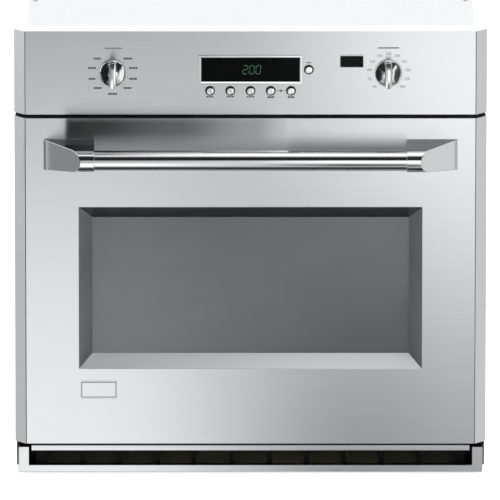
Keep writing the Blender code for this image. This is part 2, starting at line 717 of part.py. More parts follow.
def make_door_glass(pivot):
    middle = WINDOW_TOP - WINDOW_TALL / 2
    half_tall = 120.0
    panes = {
        "door_glass_outer": FACE + BEVEL + GAP,
        "door_glass_middle": FACE + BEVEL + 7.5,
        "door_glass_inner": LINER_BACK - 1.6 - GAP - GLASS_THICK,
    }
    low, high = middle - half_tall, middle + half_tall
    for name, front in panes.items():
        pane = box(-GLASS_HALF, GLASS_HALF, front, front + GLASS_THICK, low, high)
        add_piece(name, pane, "glass", pivot=pivot)
    inner = rectangle(-GLASS_HALF - GAP, GLASS_HALF + GAP, low - GAP, high + GAP)
    outer = rectangle(-GLASS_HALF - 6, GLASS_HALF + 6, low - 6, high + 6)
    front, back = FACE + BEVEL + GAP, LINER_BACK - 1.6 - GAP
    frame = prism("y", outer, front, back)
    mouth = prism("y", inner, front - 5, back + 5)
    add_piece("glass_frame", frame, "black_steel", cut=[mouth], pivot=pivot)


def bracket_shape(side):
    """The end bracket: a tall foot on the door that narrows to the round collar."""
    foot = FACE - GAP
    points = [
        (side * x, foot, z) for x in (COLLAR_X + 1, BRACKET_X) for z in (DOOR_TOP - 84, DOOR_TOP - 34)
    ]
    for y, z in circle(BAR_Y, BAR_Z, COLLAR_R, 24):
        points.append((side * COLLAR_X, y, z))
        points.append((side * (BRACKET_X - BRACKET_SLOPE * (foot - y)), y, z))
    return hull(points)


def make_handle(pivot):
    for side, name in ((-1, "handle_bracket_left"), (1, "handle_bracket_right")):
        low, high = sorted((side * (COLLAR_X - 5), side * (COLLAR_X + 12)))
        socket = prism("x", circle(BAR_Y, BAR_Z, BAR_R + 0.4, 24), low, high)
        add_piece(name, bracket_shape(side), "polished_steel", cut=[socket], pivot=pivot)
    reach = COLLAR_X + 11.7
    bar = prism("x", circle(BAR_Y, BAR_Z, BAR_R, 24), -reach, reach)
    bore = prism("x", circle(BAR_Y, BAR_Z, BAR_R - 2, 16), -reach - 5, reach + 5)
    add_piece("handle_bar", bar, "brushed_steel", cut=[bore], pivot=pivot, smooth=True)


def make_hinge_arms(pivot):
    for side, name in ((-1, "hinge_arm_left"), (1, "hinge_arm_right")):
        low, high = sorted((side * (HINGE_HIGH_X + 3.5), side * (HINGE_HIGH_X + 8)))
        arm = box(low, high, PIVOT_Y - 7, LINER_BACK - 10, PIVOT_Z - 6, PIVOT_Z + 70)
        pin_low, pin_high = sorted((side * (HINGE_LOW_X - 4), side * (HINGE_HIGH_X + 5)))
        pin = prism("x", circle(PIVOT_Y, PIVOT_Z, 4, 12), pin_low, pin_high)
        add_piece(name, arm, "galvanised_steel", joined=[pin], pivot=pivot)


def make_door():
    pivot = add_pivot("door_hinge_axis", (0, PIVOT_Y, PIVOT_Z), OVEN)
    make_door_shells(pivot)
    make_door_glass(pivot)
    make_handle(pivot)
    make_hinge_arms(pivot)
    badge_x, badge_z = -243.3, DOOR_BOTTOM + 89.5
    badge = box(badge_x - 29.5, badge_x + 29.5, FACE - 1.3, FACE - GAP, badge_z - 14.3, badge_z + 14.3)
    add_piece("badge_plate", badge, "polished_steel", pivot=pivot)


start_scene()
OVEN = add_pivot("oven", (0, -(REAR + COLLAR_FRONT) / 2, 0))

make_casing()
make_junction_box()
make_front_frame()
make_insulation()
make_gasket()
make_vent_trim()
make_hinge_receivers()
make_cavity()
make_rack_guides()
make_racks()
make_elements()
make_fan()
make_lamp_and_probe()
make_latch()
make_blower()
make_knobs()
make_buttons()
make_control_panel()
make_door()
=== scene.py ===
import json
import math
import random

import bmesh
import bpy
from mathutils import Matrix, Vector

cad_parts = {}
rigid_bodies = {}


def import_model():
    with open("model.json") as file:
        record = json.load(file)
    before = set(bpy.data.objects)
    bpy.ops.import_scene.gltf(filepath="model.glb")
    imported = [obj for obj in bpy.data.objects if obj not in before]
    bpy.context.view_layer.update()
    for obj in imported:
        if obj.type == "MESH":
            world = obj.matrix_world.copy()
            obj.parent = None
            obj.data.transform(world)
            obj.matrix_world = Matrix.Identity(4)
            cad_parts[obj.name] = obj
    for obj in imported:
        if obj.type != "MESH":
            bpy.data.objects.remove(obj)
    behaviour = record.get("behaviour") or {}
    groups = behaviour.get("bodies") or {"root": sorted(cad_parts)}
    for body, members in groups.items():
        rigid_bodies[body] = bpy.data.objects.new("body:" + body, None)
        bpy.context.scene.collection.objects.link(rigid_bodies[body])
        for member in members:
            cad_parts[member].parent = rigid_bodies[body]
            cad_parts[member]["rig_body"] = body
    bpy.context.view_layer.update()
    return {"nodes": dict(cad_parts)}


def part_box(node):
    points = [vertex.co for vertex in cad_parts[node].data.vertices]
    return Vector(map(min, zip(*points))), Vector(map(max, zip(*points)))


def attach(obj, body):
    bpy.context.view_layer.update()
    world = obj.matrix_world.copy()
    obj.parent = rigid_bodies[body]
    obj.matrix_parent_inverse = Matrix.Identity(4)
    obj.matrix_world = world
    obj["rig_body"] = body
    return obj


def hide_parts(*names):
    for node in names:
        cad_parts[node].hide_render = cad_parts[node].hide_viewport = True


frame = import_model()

# A built-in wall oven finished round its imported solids: brushed and polished stainless in front,
# galvanised sheet behind, porcelain enamel inside. Shapes are worked out in millimetres, in the
# frame's own axes, and mm turns them to metres when a mesh is stored.

mm = 0.001
nodes = frame["nodes"]
random.seed(7)


# small helpers: nodes, materials, meshes, pieces

def linear(hexColour):
    # sRGB hex to the linear values that a shader takes
    values = [int(hexColour[i:i + 2], 16) / 255 for i in (1, 3, 5)]
    return [v / 12.92 if v < 0.04045 else ((v + 0.055) / 1.055) ** 2.4 for v in values] + [1.0]


def addNode(tree, kind, inputs=None, **settings):
    node = tree.nodes.new(kind)
    for name, value in settings.items():
        setattr(node, name, value)
    for name, value in (inputs or {}).items():
        if isinstance(value, bpy.types.NodeSocket):
            tree.links.new(value, node.inputs[name])
        else:
            node.inputs[name].default_value = value
    return node


def startMaterial(name, colour, roughness, metallic=0.0, **more):
    material = bpy.data.materials.new(name)
    material.use_nodes = True
    tree = material.node_tree
    shader = tree.nodes["Principled BSDF"]
    shader.inputs["Base Color"].default_value = linear(colour)
    shader.inputs["Roughness"].default_value = roughness
    shader.inputs["Metallic"].default_value = metallic
    for socket, value in more.items():
        shader.inputs[socket.replace("_", " ")].default_value = value
    return material, tree, shader


def pattern(tree, kind, cell, **settings):
    # a texture on the piece's own coordinates, whose cell is given in millimetres along x, y and z
    stretch = [1 / (side * mm) for side in cell]
    coordinates = addNode(tree, "ShaderNodeTexCoord")
    placed = addNode(tree, "ShaderNodeMapping", {"Vector": coordinates.outputs["Object"], "Scale": stretch})
    texture = addNode(tree, kind, {"Vector": placed.outputs["Vector"], "Scale": 1.0})
    for name, value in settings.items():
        texture.inputs[name].default_value = value
    return texture.outputs[0]


def blend(tree, factor, low, high, **settings):
    # a value stretched so that low to high becomes 0 to 1
    inputs = {"Value": factor, "From Min": low, "From Max": high}
    return addNode(tree, "ShaderNodeMapRange", inputs, **settings).outputs["Result"]


def colourBetween(tree, shader, factor, first, second, start=0.3, end=0.7):
    # the base colour runs from one hex colour to the other with a pattern
    ramp = addNode(tree, "ShaderNodeValToRGB", {"Fac": factor})
    for stop, colour, place in zip(ramp.color_ramp.elements, (first, second), (start, end)):
        stop.color = linear(colour)
        stop.position = place
    tree.links.new(ramp.outputs["Color"], shader.inputs["Base Color"])


def roughnessBetween(tree, shader, factor, low, high):
    spread = addNode(tree, "ShaderNodeMapRange", {"Value": factor, "To Min": low, "To Max": high})
    tree.links.new(spread.outputs["Result"], shader.inputs["Roughness"])


def relief(tree, shader, height, deep, strength=1.0):
    # bump from a pattern, deep in millimetres
    bump = addNode(tree, "ShaderNodeBump", {"Height": height, "Distance": deep * mm, "Strength": strength})
    tree.links.new(bump.outputs["Normal"], shader.inputs["Normal"])


def surface(name, base, *layers, **more):
    # base is colour, roughness and metal; each layer is a texture, its cell, its settings and what
    # it drives: two colours, two roughnesses, or a relief with its depth and strength
    material, tree, shader = startMaterial(name, *base, **more)
    effects = {"colour": colourBetween, "roughness": roughnessBetween, "relief": relief}
    for kind, cell, settings, driven in layers:
        cell = cell if isinstance(cell, tuple) else (cell,) * 3
        texture = pattern(tree, f"ShaderNodeTex{kind}", cell, **settings)
        for effect, values in driven.items():
            effects[effect](tree, shader, texture, *values)
    return material


def toneRamp(tree, factor, low, high, stops, tint=0.0):
    # greys along a factor from 0 to 1, whose stops are given between low and high
    ramp = addNode(tree, "ShaderNodeValToRGB", {"Fac": factor})
    elements = ramp.color_ramp.elements
    for n, (where, value) in enumerate(stops):
        spot = (where - low) / (high - low)
        stop = elements[n] if n < 2 else elements.new(spot)
        stop.position = spot
        stop.color = (value * (1 - tint), value, value * (1 + tint), 1)
    return ramp


def mixTones(tree, factor, first, second):
    # a blend of two colours, each a socket or a grey
    made = addNode(tree, "ShaderNodeMix", {"Factor": factor}, data_type="RGBA")
    for socket, value in ((made.inputs[6], first), (made.inputs[7], second)):
        if isinstance(value, bpy.types.NodeSocket):
            tree.links.new(value, socket)
        else:
            socket.default_value = (value, value, value, 1)
    return made.outputs[2]


def link(name, data):
    made = bpy.data.objects.new(name, data)
    bpy.context.scene.collection.objects.link(made)
    return made


def smooth(mesh, angle):
    # smooth shading apart from edges sharper than the angle
    mesh.shade_smooth()
    mesh.set_sharp_from_angle(angle=math.radians(angle))


def meshFrom(name, bm):
    mesh = bpy.data.meshes.new(name)
    bm.to_mesh(mesh)
    bm.free()
    return mesh


def takeMesh(piece):
    # the mesh of an object once its curve or modifiers are worked out; the object goes
    depsgraph = bpy.context.evaluated_depsgraph_get()
    mesh = bpy.data.meshes.new_from_object(piece.evaluated_get(depsgraph), depsgraph=depsgraph)
    bpy.data.objects.remove(piece)
    return mesh


def putIn(name, mesh, material):
    mesh.materials.clear()
    mesh.materials.append(material)
    mesh.polygons.foreach_set("material_index", [0] * len(mesh.polygons))
    return link(name, mesh)


def store(name, bm, material, angle=35):
    # a bmesh in millimetres becomes a piece in metres
    bmesh.ops.scale(bm, vec=(mm, mm, mm), verts=bm.verts)
    mesh = meshFrom(name, bm)
    smooth(mesh, angle)
    return putIn(name, mesh, material)


def layGrain(piece):
    # a map whose first direction runs across each face, level, so that the brushing is level too
    mesh = piece.data
    grain = mesh.uv_layers.new(name="grain")
    for face in mesh.polygons:
        sideways = abs(face.normal.x) > max(abs(face.normal.y), abs(face.normal.z))
        flat = abs(face.normal.z) > 0.9
        for loop in face.loop_indices:
            spot = mesh.vertices[mesh.loops[loop].vertex_index].co
            grain.uv[loop].vector = (spot.y if sideways else spot.x, spot.y if flat else spot.z)
    return piece


def settle(piece):
    # the object as a plain mesh, without its modifiers
    name, material = piece.name, piece.data.materials[0]
    return putIn(name, takeMesh(piece), material)


def roundEdges(piece, width, segments=2, angle=28):
    bevel = piece.modifiers.new("edges", "BEVEL")
    bevel.width = width * mm
    bevel.segments = segments
    bevel.angle_limit = math.radians(angle)
    bevel.use_clamp_overlap = False
    piece = settle(piece)
    smooth(piece.data, 38)
    # the broad faces keep their own normals, so they mirror flat
    piece.modifiers.new("flat faces", "WEIGHTED_NORMAL").keep_sharp = True
    return settle(piece)


def fit(piece, body, slot, *replaced):
    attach(piece, body)
    if replaced:
        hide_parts(*replaced)
    return piece


def build(name, bm, body, slot, *replaced, material=None, angle=35):
    # a stored bmesh, fitted, in the slot's own finish unless another is given
    return fit(store(name, bm, material or finishes[slot], angle), body, slot, *replaced)


def boolean(piece, other, operation):
    # joins the other piece on, or cuts it away
    modifier = piece.modifiers.new("boolean", "BOOLEAN")
    modifier.operation = operation
    modifier.object = other
    piece = settle(piece)
    bpy.data.objects.remove(other)
    smooth(piece.data, 35)
    return piece


def joined(name, parts, material):
    # several pieces become one
    bm = bmesh.new()
    for part in parts:
        bm.from_mesh(part.data)
        bpy.data.objects.remove(part)
    return putIn(name, meshFrom(name, bm), material)


def span(node):
    low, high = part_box(node)
    return low / mm, high / mm


def centred(node):
    # a node's box, then the x and z of its middle
    low, high = span(node)
    return low, high, (low.x + high.x) / 2, (low.z + high.z) / 2


# shapes in millimetres

def onAxis(axis, along, a, b):
    return {"x": (along, a, b), "y": (a, along, b), "z": (a, b, along)}[axis]


def loft(axis, sections, bm=None, ring=False):
    # a closed solid through outlines of equal length, each with its place on the axis; or a ring
    bm = bm or bmesh.new()
    rings = [[bm.verts.new(onAxis(axis, along, a, b)) for a, b in outline] for along, outline in sections]
    faces = [] if ring else [bm.faces.new(rings[0]), bm.faces.new(rings[-1])]
    for near, far in zip(rings, rings[1:] + rings[:1] if ring else rings[1:]):
        for n in range(len(near)):
            after = (n + 1) % len(near)
            faces.append(bm.faces.new((near[n], near[after], far[after], far[n])))
    bmesh.ops.recalc_face_normals(bm, faces=faces)
    return bm


def circle(a, b, radius, sides=48):
    turn = 2 * math.pi / sides
    return [(a + radius * math.cos(n * turn), b + radius * math.sin(n * turn)) for n in range(sides)]


def roundedBox(a, b, halfA, halfB, radius, steps=5):
    # an outline round (a, b) with rounded corners
    points = []
    for signA, signB, start in ((1, 1, 0), (-1, 1, 90), (-1, -1, 180), (1, -1, 270)):
        for n in range(steps + 1):
            angle = math.radians(start + 90 * n / steps)
            points.append((
                a + signA * (halfA - radius) + radius * math.cos(angle),
                b + signB * (halfB - radius) + radius * math.sin(angle),
            ))
    return points


def stack(axis, a, b, halfA, halfB, steps, bm=None, ring=False, curve=5):
    # rounded boxes over one another: each step is its place, how far it is inset, and its corner
    return loft(axis, [
        (along, roundedBox(a, b, halfA - inset, halfB - inset, corner, curve))
        for along, inset, corner in steps
    ], bm, ring)


def box(low, high, bm=None):
    outline = [(low[0], low[1]), (high[0], low[1]), (high[0], high[1]), (low[0], high[1])]
    return loft("z", [(low[2], outline), (high[2], outline)], bm)


def turned(axis, centre, profile, sides=48, bm=None, ring=False):
    # a profile of (along, radius) pairs turned about an axis through a centre in the other two axes
    return loft(axis, [(along, circle(*centre, radius, sides)) for along, radius in profile], bm, ring)


def tube(name, points, radius, material, closed=False, sides=3):
    # a round wire along points in millimetres
    curve = bpy.data.curves.new(name, "CURVE")
    curve.dimensions = "3D"
    curve.bevel_depth = radius * mm
    curve.bevel_resolution = sides
    curve.use_fill_caps = True
    spline = curve.splines.new("POLY")
    spline.points.add(len(points) - 1)
    for target, point in zip(spline.points, points):
        target.co = (*(Vector(point) * mm), 1)
    spline.use_cyclic_u = closed
    curve.materials.append(material)
    mesh = takeMesh(link(name, curve))
    smooth(mesh, 45)
    return putIn(name, mesh, material)


def bentRoute(corners, radius, closed=False, steps=8):
    # straight runs with each corner turned by an arc
    points = [Vector(corner) for corner in corners]
    route = [] if closed else [points[0]]
    count = len(points)
    for n in range(count) if closed else range(1, count - 1):
        before, here, after = points[n - 1], points[n], points[(n + 1) % count]
        start = here + (before - here).normalized() * radius
        end = here + (after - here).normalized() * radius
        for step in range(steps + 1):
            t = step / steps
            route.append(start.lerp(here, t).lerp(here.lerp(end, t), t))
    return route if closed else route + [points[-1]]


# Geometry Nodes trees for what repeats

def startTree(name, inputs):
    tree = bpy.data.node_groups.new(name, "GeometryNodeTree")
    tree.interface.new_socket("Geometry", in_out="INPUT", socket_type="NodeSocketGeometry")
    for label, kind in {**inputs, "Finish": "NodeSocketMaterial"}.items():
        tree.interface.new_socket(label, in_out="INPUT", socket_type=kind)
    tree.interface.new_socket("Geometry", in_out="OUTPUT", socket_type="NodeSocketGeometry")
    return tree, addNode(tree, "NodeGroupInput").outputs


def endTree(tree, geometry, given):
    real = addNode(tree, "GeometryNodeRealizeInstances", {"Geometry": geometry})
    painted = addNode(
        tree, "GeometryNodeSetMaterial", {"Geometry": real.outputs[0], "Material": given["Finish"]}
    )
    addNode(tree, "NodeGroupOutput", {"Geometry": painted.outputs["Geometry"]})
    return tree


def copies(tree, points, shape, facing):
    inputs = {"Points": points, "Instance": shape, "Rotation": facing}
    return addNode(tree, "GeometryNodeInstanceOnPoints", inputs).outputs["Instances"]


def spun(tree, instances, axis, angle):
    turn = addNode(tree, "ShaderNodeCombineXYZ", {axis: angle}).outputs["Vector"]
    inputs = {"Instances": instances, "Rotation": turn}
    return addNode(tree, "GeometryNodeRotateInstances", inputs).outputs["Instances"]


def makeCopiesTree():
    # a shape on every point of the piece, turned to face one way and spun by a seeded amount
    tree, given = startTree("copiesOnPoints", {
        "Shape": "NodeSocketObject", "Facing": "NodeSocketVector", "Spin": "NodeSocketFloat",
    })
    shape = addNode(tree, "GeometryNodeObjectInfo", {"Object": given["Shape"], "As Instance": True})
    points = addNode(tree, "GeometryNodeMeshToPoints", {"Mesh": given["Geometry"]})
    placed = copies(tree, points.outputs["Points"], shape.outputs["Geometry"], given["Facing"])
    chance = addNode(tree, "FunctionNodeRandomValue", {"Max": given["Spin"], "Seed": 11}, data_type="FLOAT")
    return endTree(tree, spun(tree, placed, "Z", chance.outputs["Value"]), given)


def makeWiresTree():
    # parallel round wires, a step apart
    tree, given = startTree("wireRow", {
        "Wires": "NodeSocketInt", "Start": "NodeSocketVector", "Step": "NodeSocketVector",
        "Radius": "NodeSocketFloat", "Length": "NodeSocketFloat", "Facing": "NodeSocketVector",
    })
    line = addNode(tree, "GeometryNodeMeshLine", {
        "Count": given["Wires"], "Start Location": given["Start"], "Offset": given["Step"],
    })
    wire = addNode(tree, "GeometryNodeMeshCylinder", {
        "Vertices": 12, "Radius": given["Radius"], "Depth": given["Length"],
    })
    return endTree(tree, copies(tree, line.outputs["Mesh"], wire.outputs["Mesh"], given["Facing"]), given)


def makeBraidTree():
    # a rope of short strands along the piece's edges, alternate strands crossing
    tree, given = startTree("braidedRope", {
        "Strands": "NodeSocketInt", "Radius": "NodeSocketFloat", "Slant": "NodeSocketFloat",
    })
    path = addNode(tree, "GeometryNodeMeshToCurve", {"Mesh": given["Geometry"]})
    spots = addNode(tree, "GeometryNodeCurveToPoints", {
        "Curve": path.outputs["Curve"], "Count": given["Strands"],
    })
    ball = addNode(tree, "GeometryNodeMeshUVSphere", {"Segments": 8, "Rings": 6, "Radius": given["Radius"]})
    strand = addNode(tree, "GeometryNodeTransform", {
        "Geometry": ball.outputs["Mesh"], "Scale": (0.62, 1.0, 1.7),
    })
    placed = copies(tree, spots.outputs["Points"], strand.outputs["Geometry"], spots.outputs["Rotation"])
    # odd strands lean one way by half the slant, even ones the other
    value = addNode(tree, "GeometryNodeInputIndex").outputs[0]
    for operation, by in (("MODULO", 2.0), ("SUBTRACT", 0.5), ("MULTIPLY", given["Slant"])):
        value = addNode(tree, "ShaderNodeMath", {0: value, 1: by}, operation=operation).outputs[0]
    return endTree(tree, spun(tree, placed, "X", value), given)


copiesTree, wiresTree, braidTree = makeCopiesTree(), makeWiresTree(), makeBraidTree()


def grow(name, tree, values, material, points=((0, 0, 0),), closed=False):
    # runs a tree on points in millimetres, joined in a loop when closed, and keeps the plain mesh
    mesh = bpy.data.meshes.new(name)
    count = len(points)
    edges = [(n, (n + 1) % count) for n in range(count)] if closed else []
    mesh.from_pydata([Vector(p) * mm for p in points], edges, [])
    piece = putIn(name, mesh, material)
    modifier = piece.modifiers.new("grow", "NODES")
    modifier.node_group = tree
    for item in tree.interface.items_tree:
        if item.name in values:
            modifier[item.identifier] = values[item.name]
        elif item.name == "Finish":
            modifier[item.identifier] = material
    piece = settle(piece)
    smooth(piece.data, 45)
    return piece


# camera, floor and light

stageSizes = {
    "tilt": 13,  # degrees the camera looks down
    "viewWide": 800.25,
    "aim": (-0.8, 369.3),  # x and height on the plane of the front
    "away": 20,  # metres, a long lens
    "cardAway": 1100,
}
front = span("control_panel")[0].y
gap = 0.005  # between a printed layer and the face under it


def makeCamera():
    tilt = math.radians(stageSizes["tilt"])
    aim = Vector((stageSizes["aim"][0], front, stageSizes["aim"][1])) * mm
    back = Vector((0, -math.cos(tilt), math.sin(tilt)))
    data = bpy.data.cameras.new("camera")
    data.sensor_width = 36
    data.lens = data.sensor_width * stageSizes["away"] / (stageSizes["viewWide"] * mm)
    data.clip_end = 200
    camera = link("camera", data)
    camera.location = aim + back * stageSizes["away"]
    camera.rotation_euler = (-back).to_track_quat("-Z", "Y").to_euler()
    bpy.context.scene.camera = camera


def makeWorld():
    # white to the eye; in reflections a studio: dark in front, pale to the sides, bright behind
    world = bpy.data.worlds.new("studio")
    world.use_nodes = True
    bpy.context.scene.world = world
    tree = world.node_tree
    direction = addNode(tree, "ShaderNodeTexCoord").outputs["Generated"]
    parts = addNode(tree, "ShaderNodeSeparateXYZ", {"Vector": direction})

    def along(axis, *stops):
        # greys that follow how far a ray points along an axis
        return toneRamp(tree, blend(tree, parts.outputs[axis], -1, 1), -1, 1, stops).outputs["Color"]

    forward = along("Z", (-1, 0.5), (-0.5, 0.9), (-0.1, 0.3), (0.3, 0.02), (0.75, 0.02), (0.86, 0.6))
    sides = along("X", (-1, 0.78), (-0.6, 0.4), (0, 0.5), (0.6, 0.8), (1, 0.9))
    back = along("Z", (-1, 0.7), (-0.1, 0.8), (0.08, 2.0), (0.4, 2.0), (0.6, 0.9))
    aside = along("Y", (-0.55, 0), (-0.15, 1))
    behind = along("Y", (0.3, 0), (0.6, 1))
    below = along("Z", (-1, 1), (-0.96, 1), (-0.88, 0))
    seen = addNode(tree, "ShaderNodeLightPath").outputs["Is Camera Ray"]
    around = mixTones(tree, behind, mixTones(tree, aside, forward, sides), back)
    shown = mixTones(tree, seen, mixTones(tree, below, around, 0.02), 1.0)
    tree.links.new(shown, tree.nodes["Background"].inputs["Color"])


def makeFloor():
    material = surface(
        "paperSweep", ("#f6f6f5", 0.85), ("Noise", 400, {}, {"colour": ("#f4f4f3", "#f8f8f8")}),
        Emission_Color=(1, 1, 1, 1), Emission_Strength=0.62,
    )
    floor = store("floor", box((-60000, -60000, -24), (60000, 60000, -4)), material)
    floor.visible_glossy = False


def gradedCard(name, low, high, rows, levels):
    # a card that only reflections see, with soft tones across it in rows that blend upwards or away
    material = bpy.data.materials.new(name)
    material.use_nodes = True
    tree = material.node_tree
    tree.nodes.clear()
    place = addNode(tree, "ShaderNodeTexCoord").outputs["Object"]
    parts = addNode(tree, "ShaderNodeSeparateXYZ", {"Vector": place})
    across = blend(tree, parts.outputs["X"], low[0] * mm, high[0] * mm)
    shade = None
    for n, stops in enumerate(rows):
        ramp = toneRamp(tree, across, low[0], high[0], stops, 0.005)
        ramp.color_ramp.interpolation = "EASE"
        tone = ramp.outputs["Color"]
        if n > 0:
            start, end = levels[n - 1]
            rise = blend(tree, parts.outputs["Z"], start * mm, end * mm, interpolation_type="SMOOTHSTEP")
            tone = mixTones(tree, rise, shade, tone)
        shade = tone
    glow = addNode(tree, "ShaderNodeEmission", {"Color": shade, "Strength": 1.0})
    addNode(tree, "ShaderNodeOutputMaterial", {"Surface": glow.outputs[0]})
    card = store(name, box(low, high), material)
    card.visible_camera = False
    card.visible_diffuse = False
    card.visible_shadow = False
    card.visible_transmission = False


def makeCards():
    drop = math.tan(math.radians(stageSizes["tilt"])) * stageSizes["cardAway"]
    y = front - stageSizes["cardAway"]
    rows = (
        ((-620, 1.6), (-200, 1.52), (0, 0.8), (90, 0.42), (160, 0.14), (250, 0.25), (330, 0.4), (620, 0.5)),
        ((-620, 1.2), (-300, 1.28), (0, 0.92), (100, 1.15), (220, 1.4), (400, 1.6), (620, 1.6)),
        ((-620, 0.5), (-300, 0.6), (0, 0.85), (80, 1.3), (160, 1.65), (300, 2.1), (620, 2.2)),
    )
    levels = ((200 - drop, 440 - drop), (520 - drop, 620 - drop))
    gradedCard("frontCard", (-620, y - 4, -900), (620, y, 760), rows, levels)
    handleTop = span("handle_bar")[1].z
    over = ((-1200, 0.0), (-260, 0.0), (-110, 1.0), (40, 1.8), (1200, 1.9))
    back = ((-1200, 0.3), (-240, 0.35), (-150, 1.3), (0, 1.6), (1200, 1.7))
    flag = ((-296, 0.02), (-250, 0.04), (-120, 0.17), (0, 0.5), (60, 0.9))
    # the dark and pale cards stand beside the front one, and only the turned parts reach them;
    # the flags are small and close to the handle, and darken the top of the door and one bracket
    for name, (x0, x1), (y0, y1), (z0, z1), tones in (
        ("overheadCard", (-1200, 1200), (front - 520, front - 300), (2000, 2004), over),
        ("stripCard", (-1200, 1200), (front - 760, front - 520), (1990, 1994), 1.8),
        ("backStripCard", (-1200, 1200), (front - 300, front + 200), (1990, 1994), back),
        ("leftDarkCard", (-1004, -1000), (front - 1100, front - 420), (-900, 1300), 0.012),
        ("rightPaleCard", (1000, 1004), (front - 1100, front - 760), (-900, 1300), 1.3),
        ("rightDarkCard", (1000, 1004), (front - 740, front - 420), (-900, 1300), 0.06),
        ("flagCard", (-296, 60), (front - 32, front - 29), (handleTop + 3, handleTop + 38), flag),
        ("bracketFlagCard", (-401, -399), (front - 90, front + 3), (handleTop - 74, handleTop + 8), 0.33),
        ("leftCard", (-1604, -1600), (-1100, 700), (620, 2200), 1.5),
    ):
        row = ((x0, tones), (x1, tones)) if isinstance(tones, float) else tones
        gradedCard(name, (x0, y0, z0), (x1, y1, z1), (row,), ())


def makeLights():
    # one soft box overhead and a weak fill from each side; reflections see the cards instead
    for name, place, size, power in (
        ("overhead", (0.25, -0.75, 2.3), 1.5, 42),
        ("leftFill", (-2.2, -1.6, 1.2), 1.2, 16),
        ("rightFill", (2.2, -1.6, 1.4), 1.2, 20),
        ("backFill", (0.3, 2.6, 1.8), 1.6, 30),
    ):
        data = bpy.data.lights.new(name, "AREA")
        data.shape = "SQUARE"
        data.size = size
        data.energy = power
        lamp = link(name, data)
        lamp.location = place
        lamp.rotation_euler = (Vector((0, 0, 0.4)) - Vector(place)).to_track_quat("-Z", "Y").to_euler()
        lamp.visible_glossy = False


makeCamera()
makeWorld()
makeFloor()
makeCards()
makeLights()
bpy.context.scene.view_settings.view_transform = "Standard"
print("camera and light are set")


# materials: each is named for what it is and how its surface was made

def brushedSheet():
    # stainless sheet with a long horizontal grain: satin, with lights smeared up and down.
    # Real grain is about 0.1 mm; it is drawn 1.4 mm tall here so that it shows.
    material = surface(
        "brushedStainless", ("#cfd1d2", 0.3, 1.0),
        ("Noise", (150, 150, 1.4), {"Detail": 6.0, "Roughness": 0.65},
         {"colour": ("#cbcdce", "#d3d5d6"), "roughness": (0.25, 0.35), "relief": (0.02, 0.35)}),
        Anisotropic=0.75, Anisotropic_Rotation=0.25,
    )
    tree = material.node_tree
    along = addNode(tree, "ShaderNodeTangent", direction_type="UV_MAP", uv_map="grain")
    tree.links.new(along.outputs["Tangent"], tree.nodes["Principled BSDF"].inputs["Tangent"])
    return material


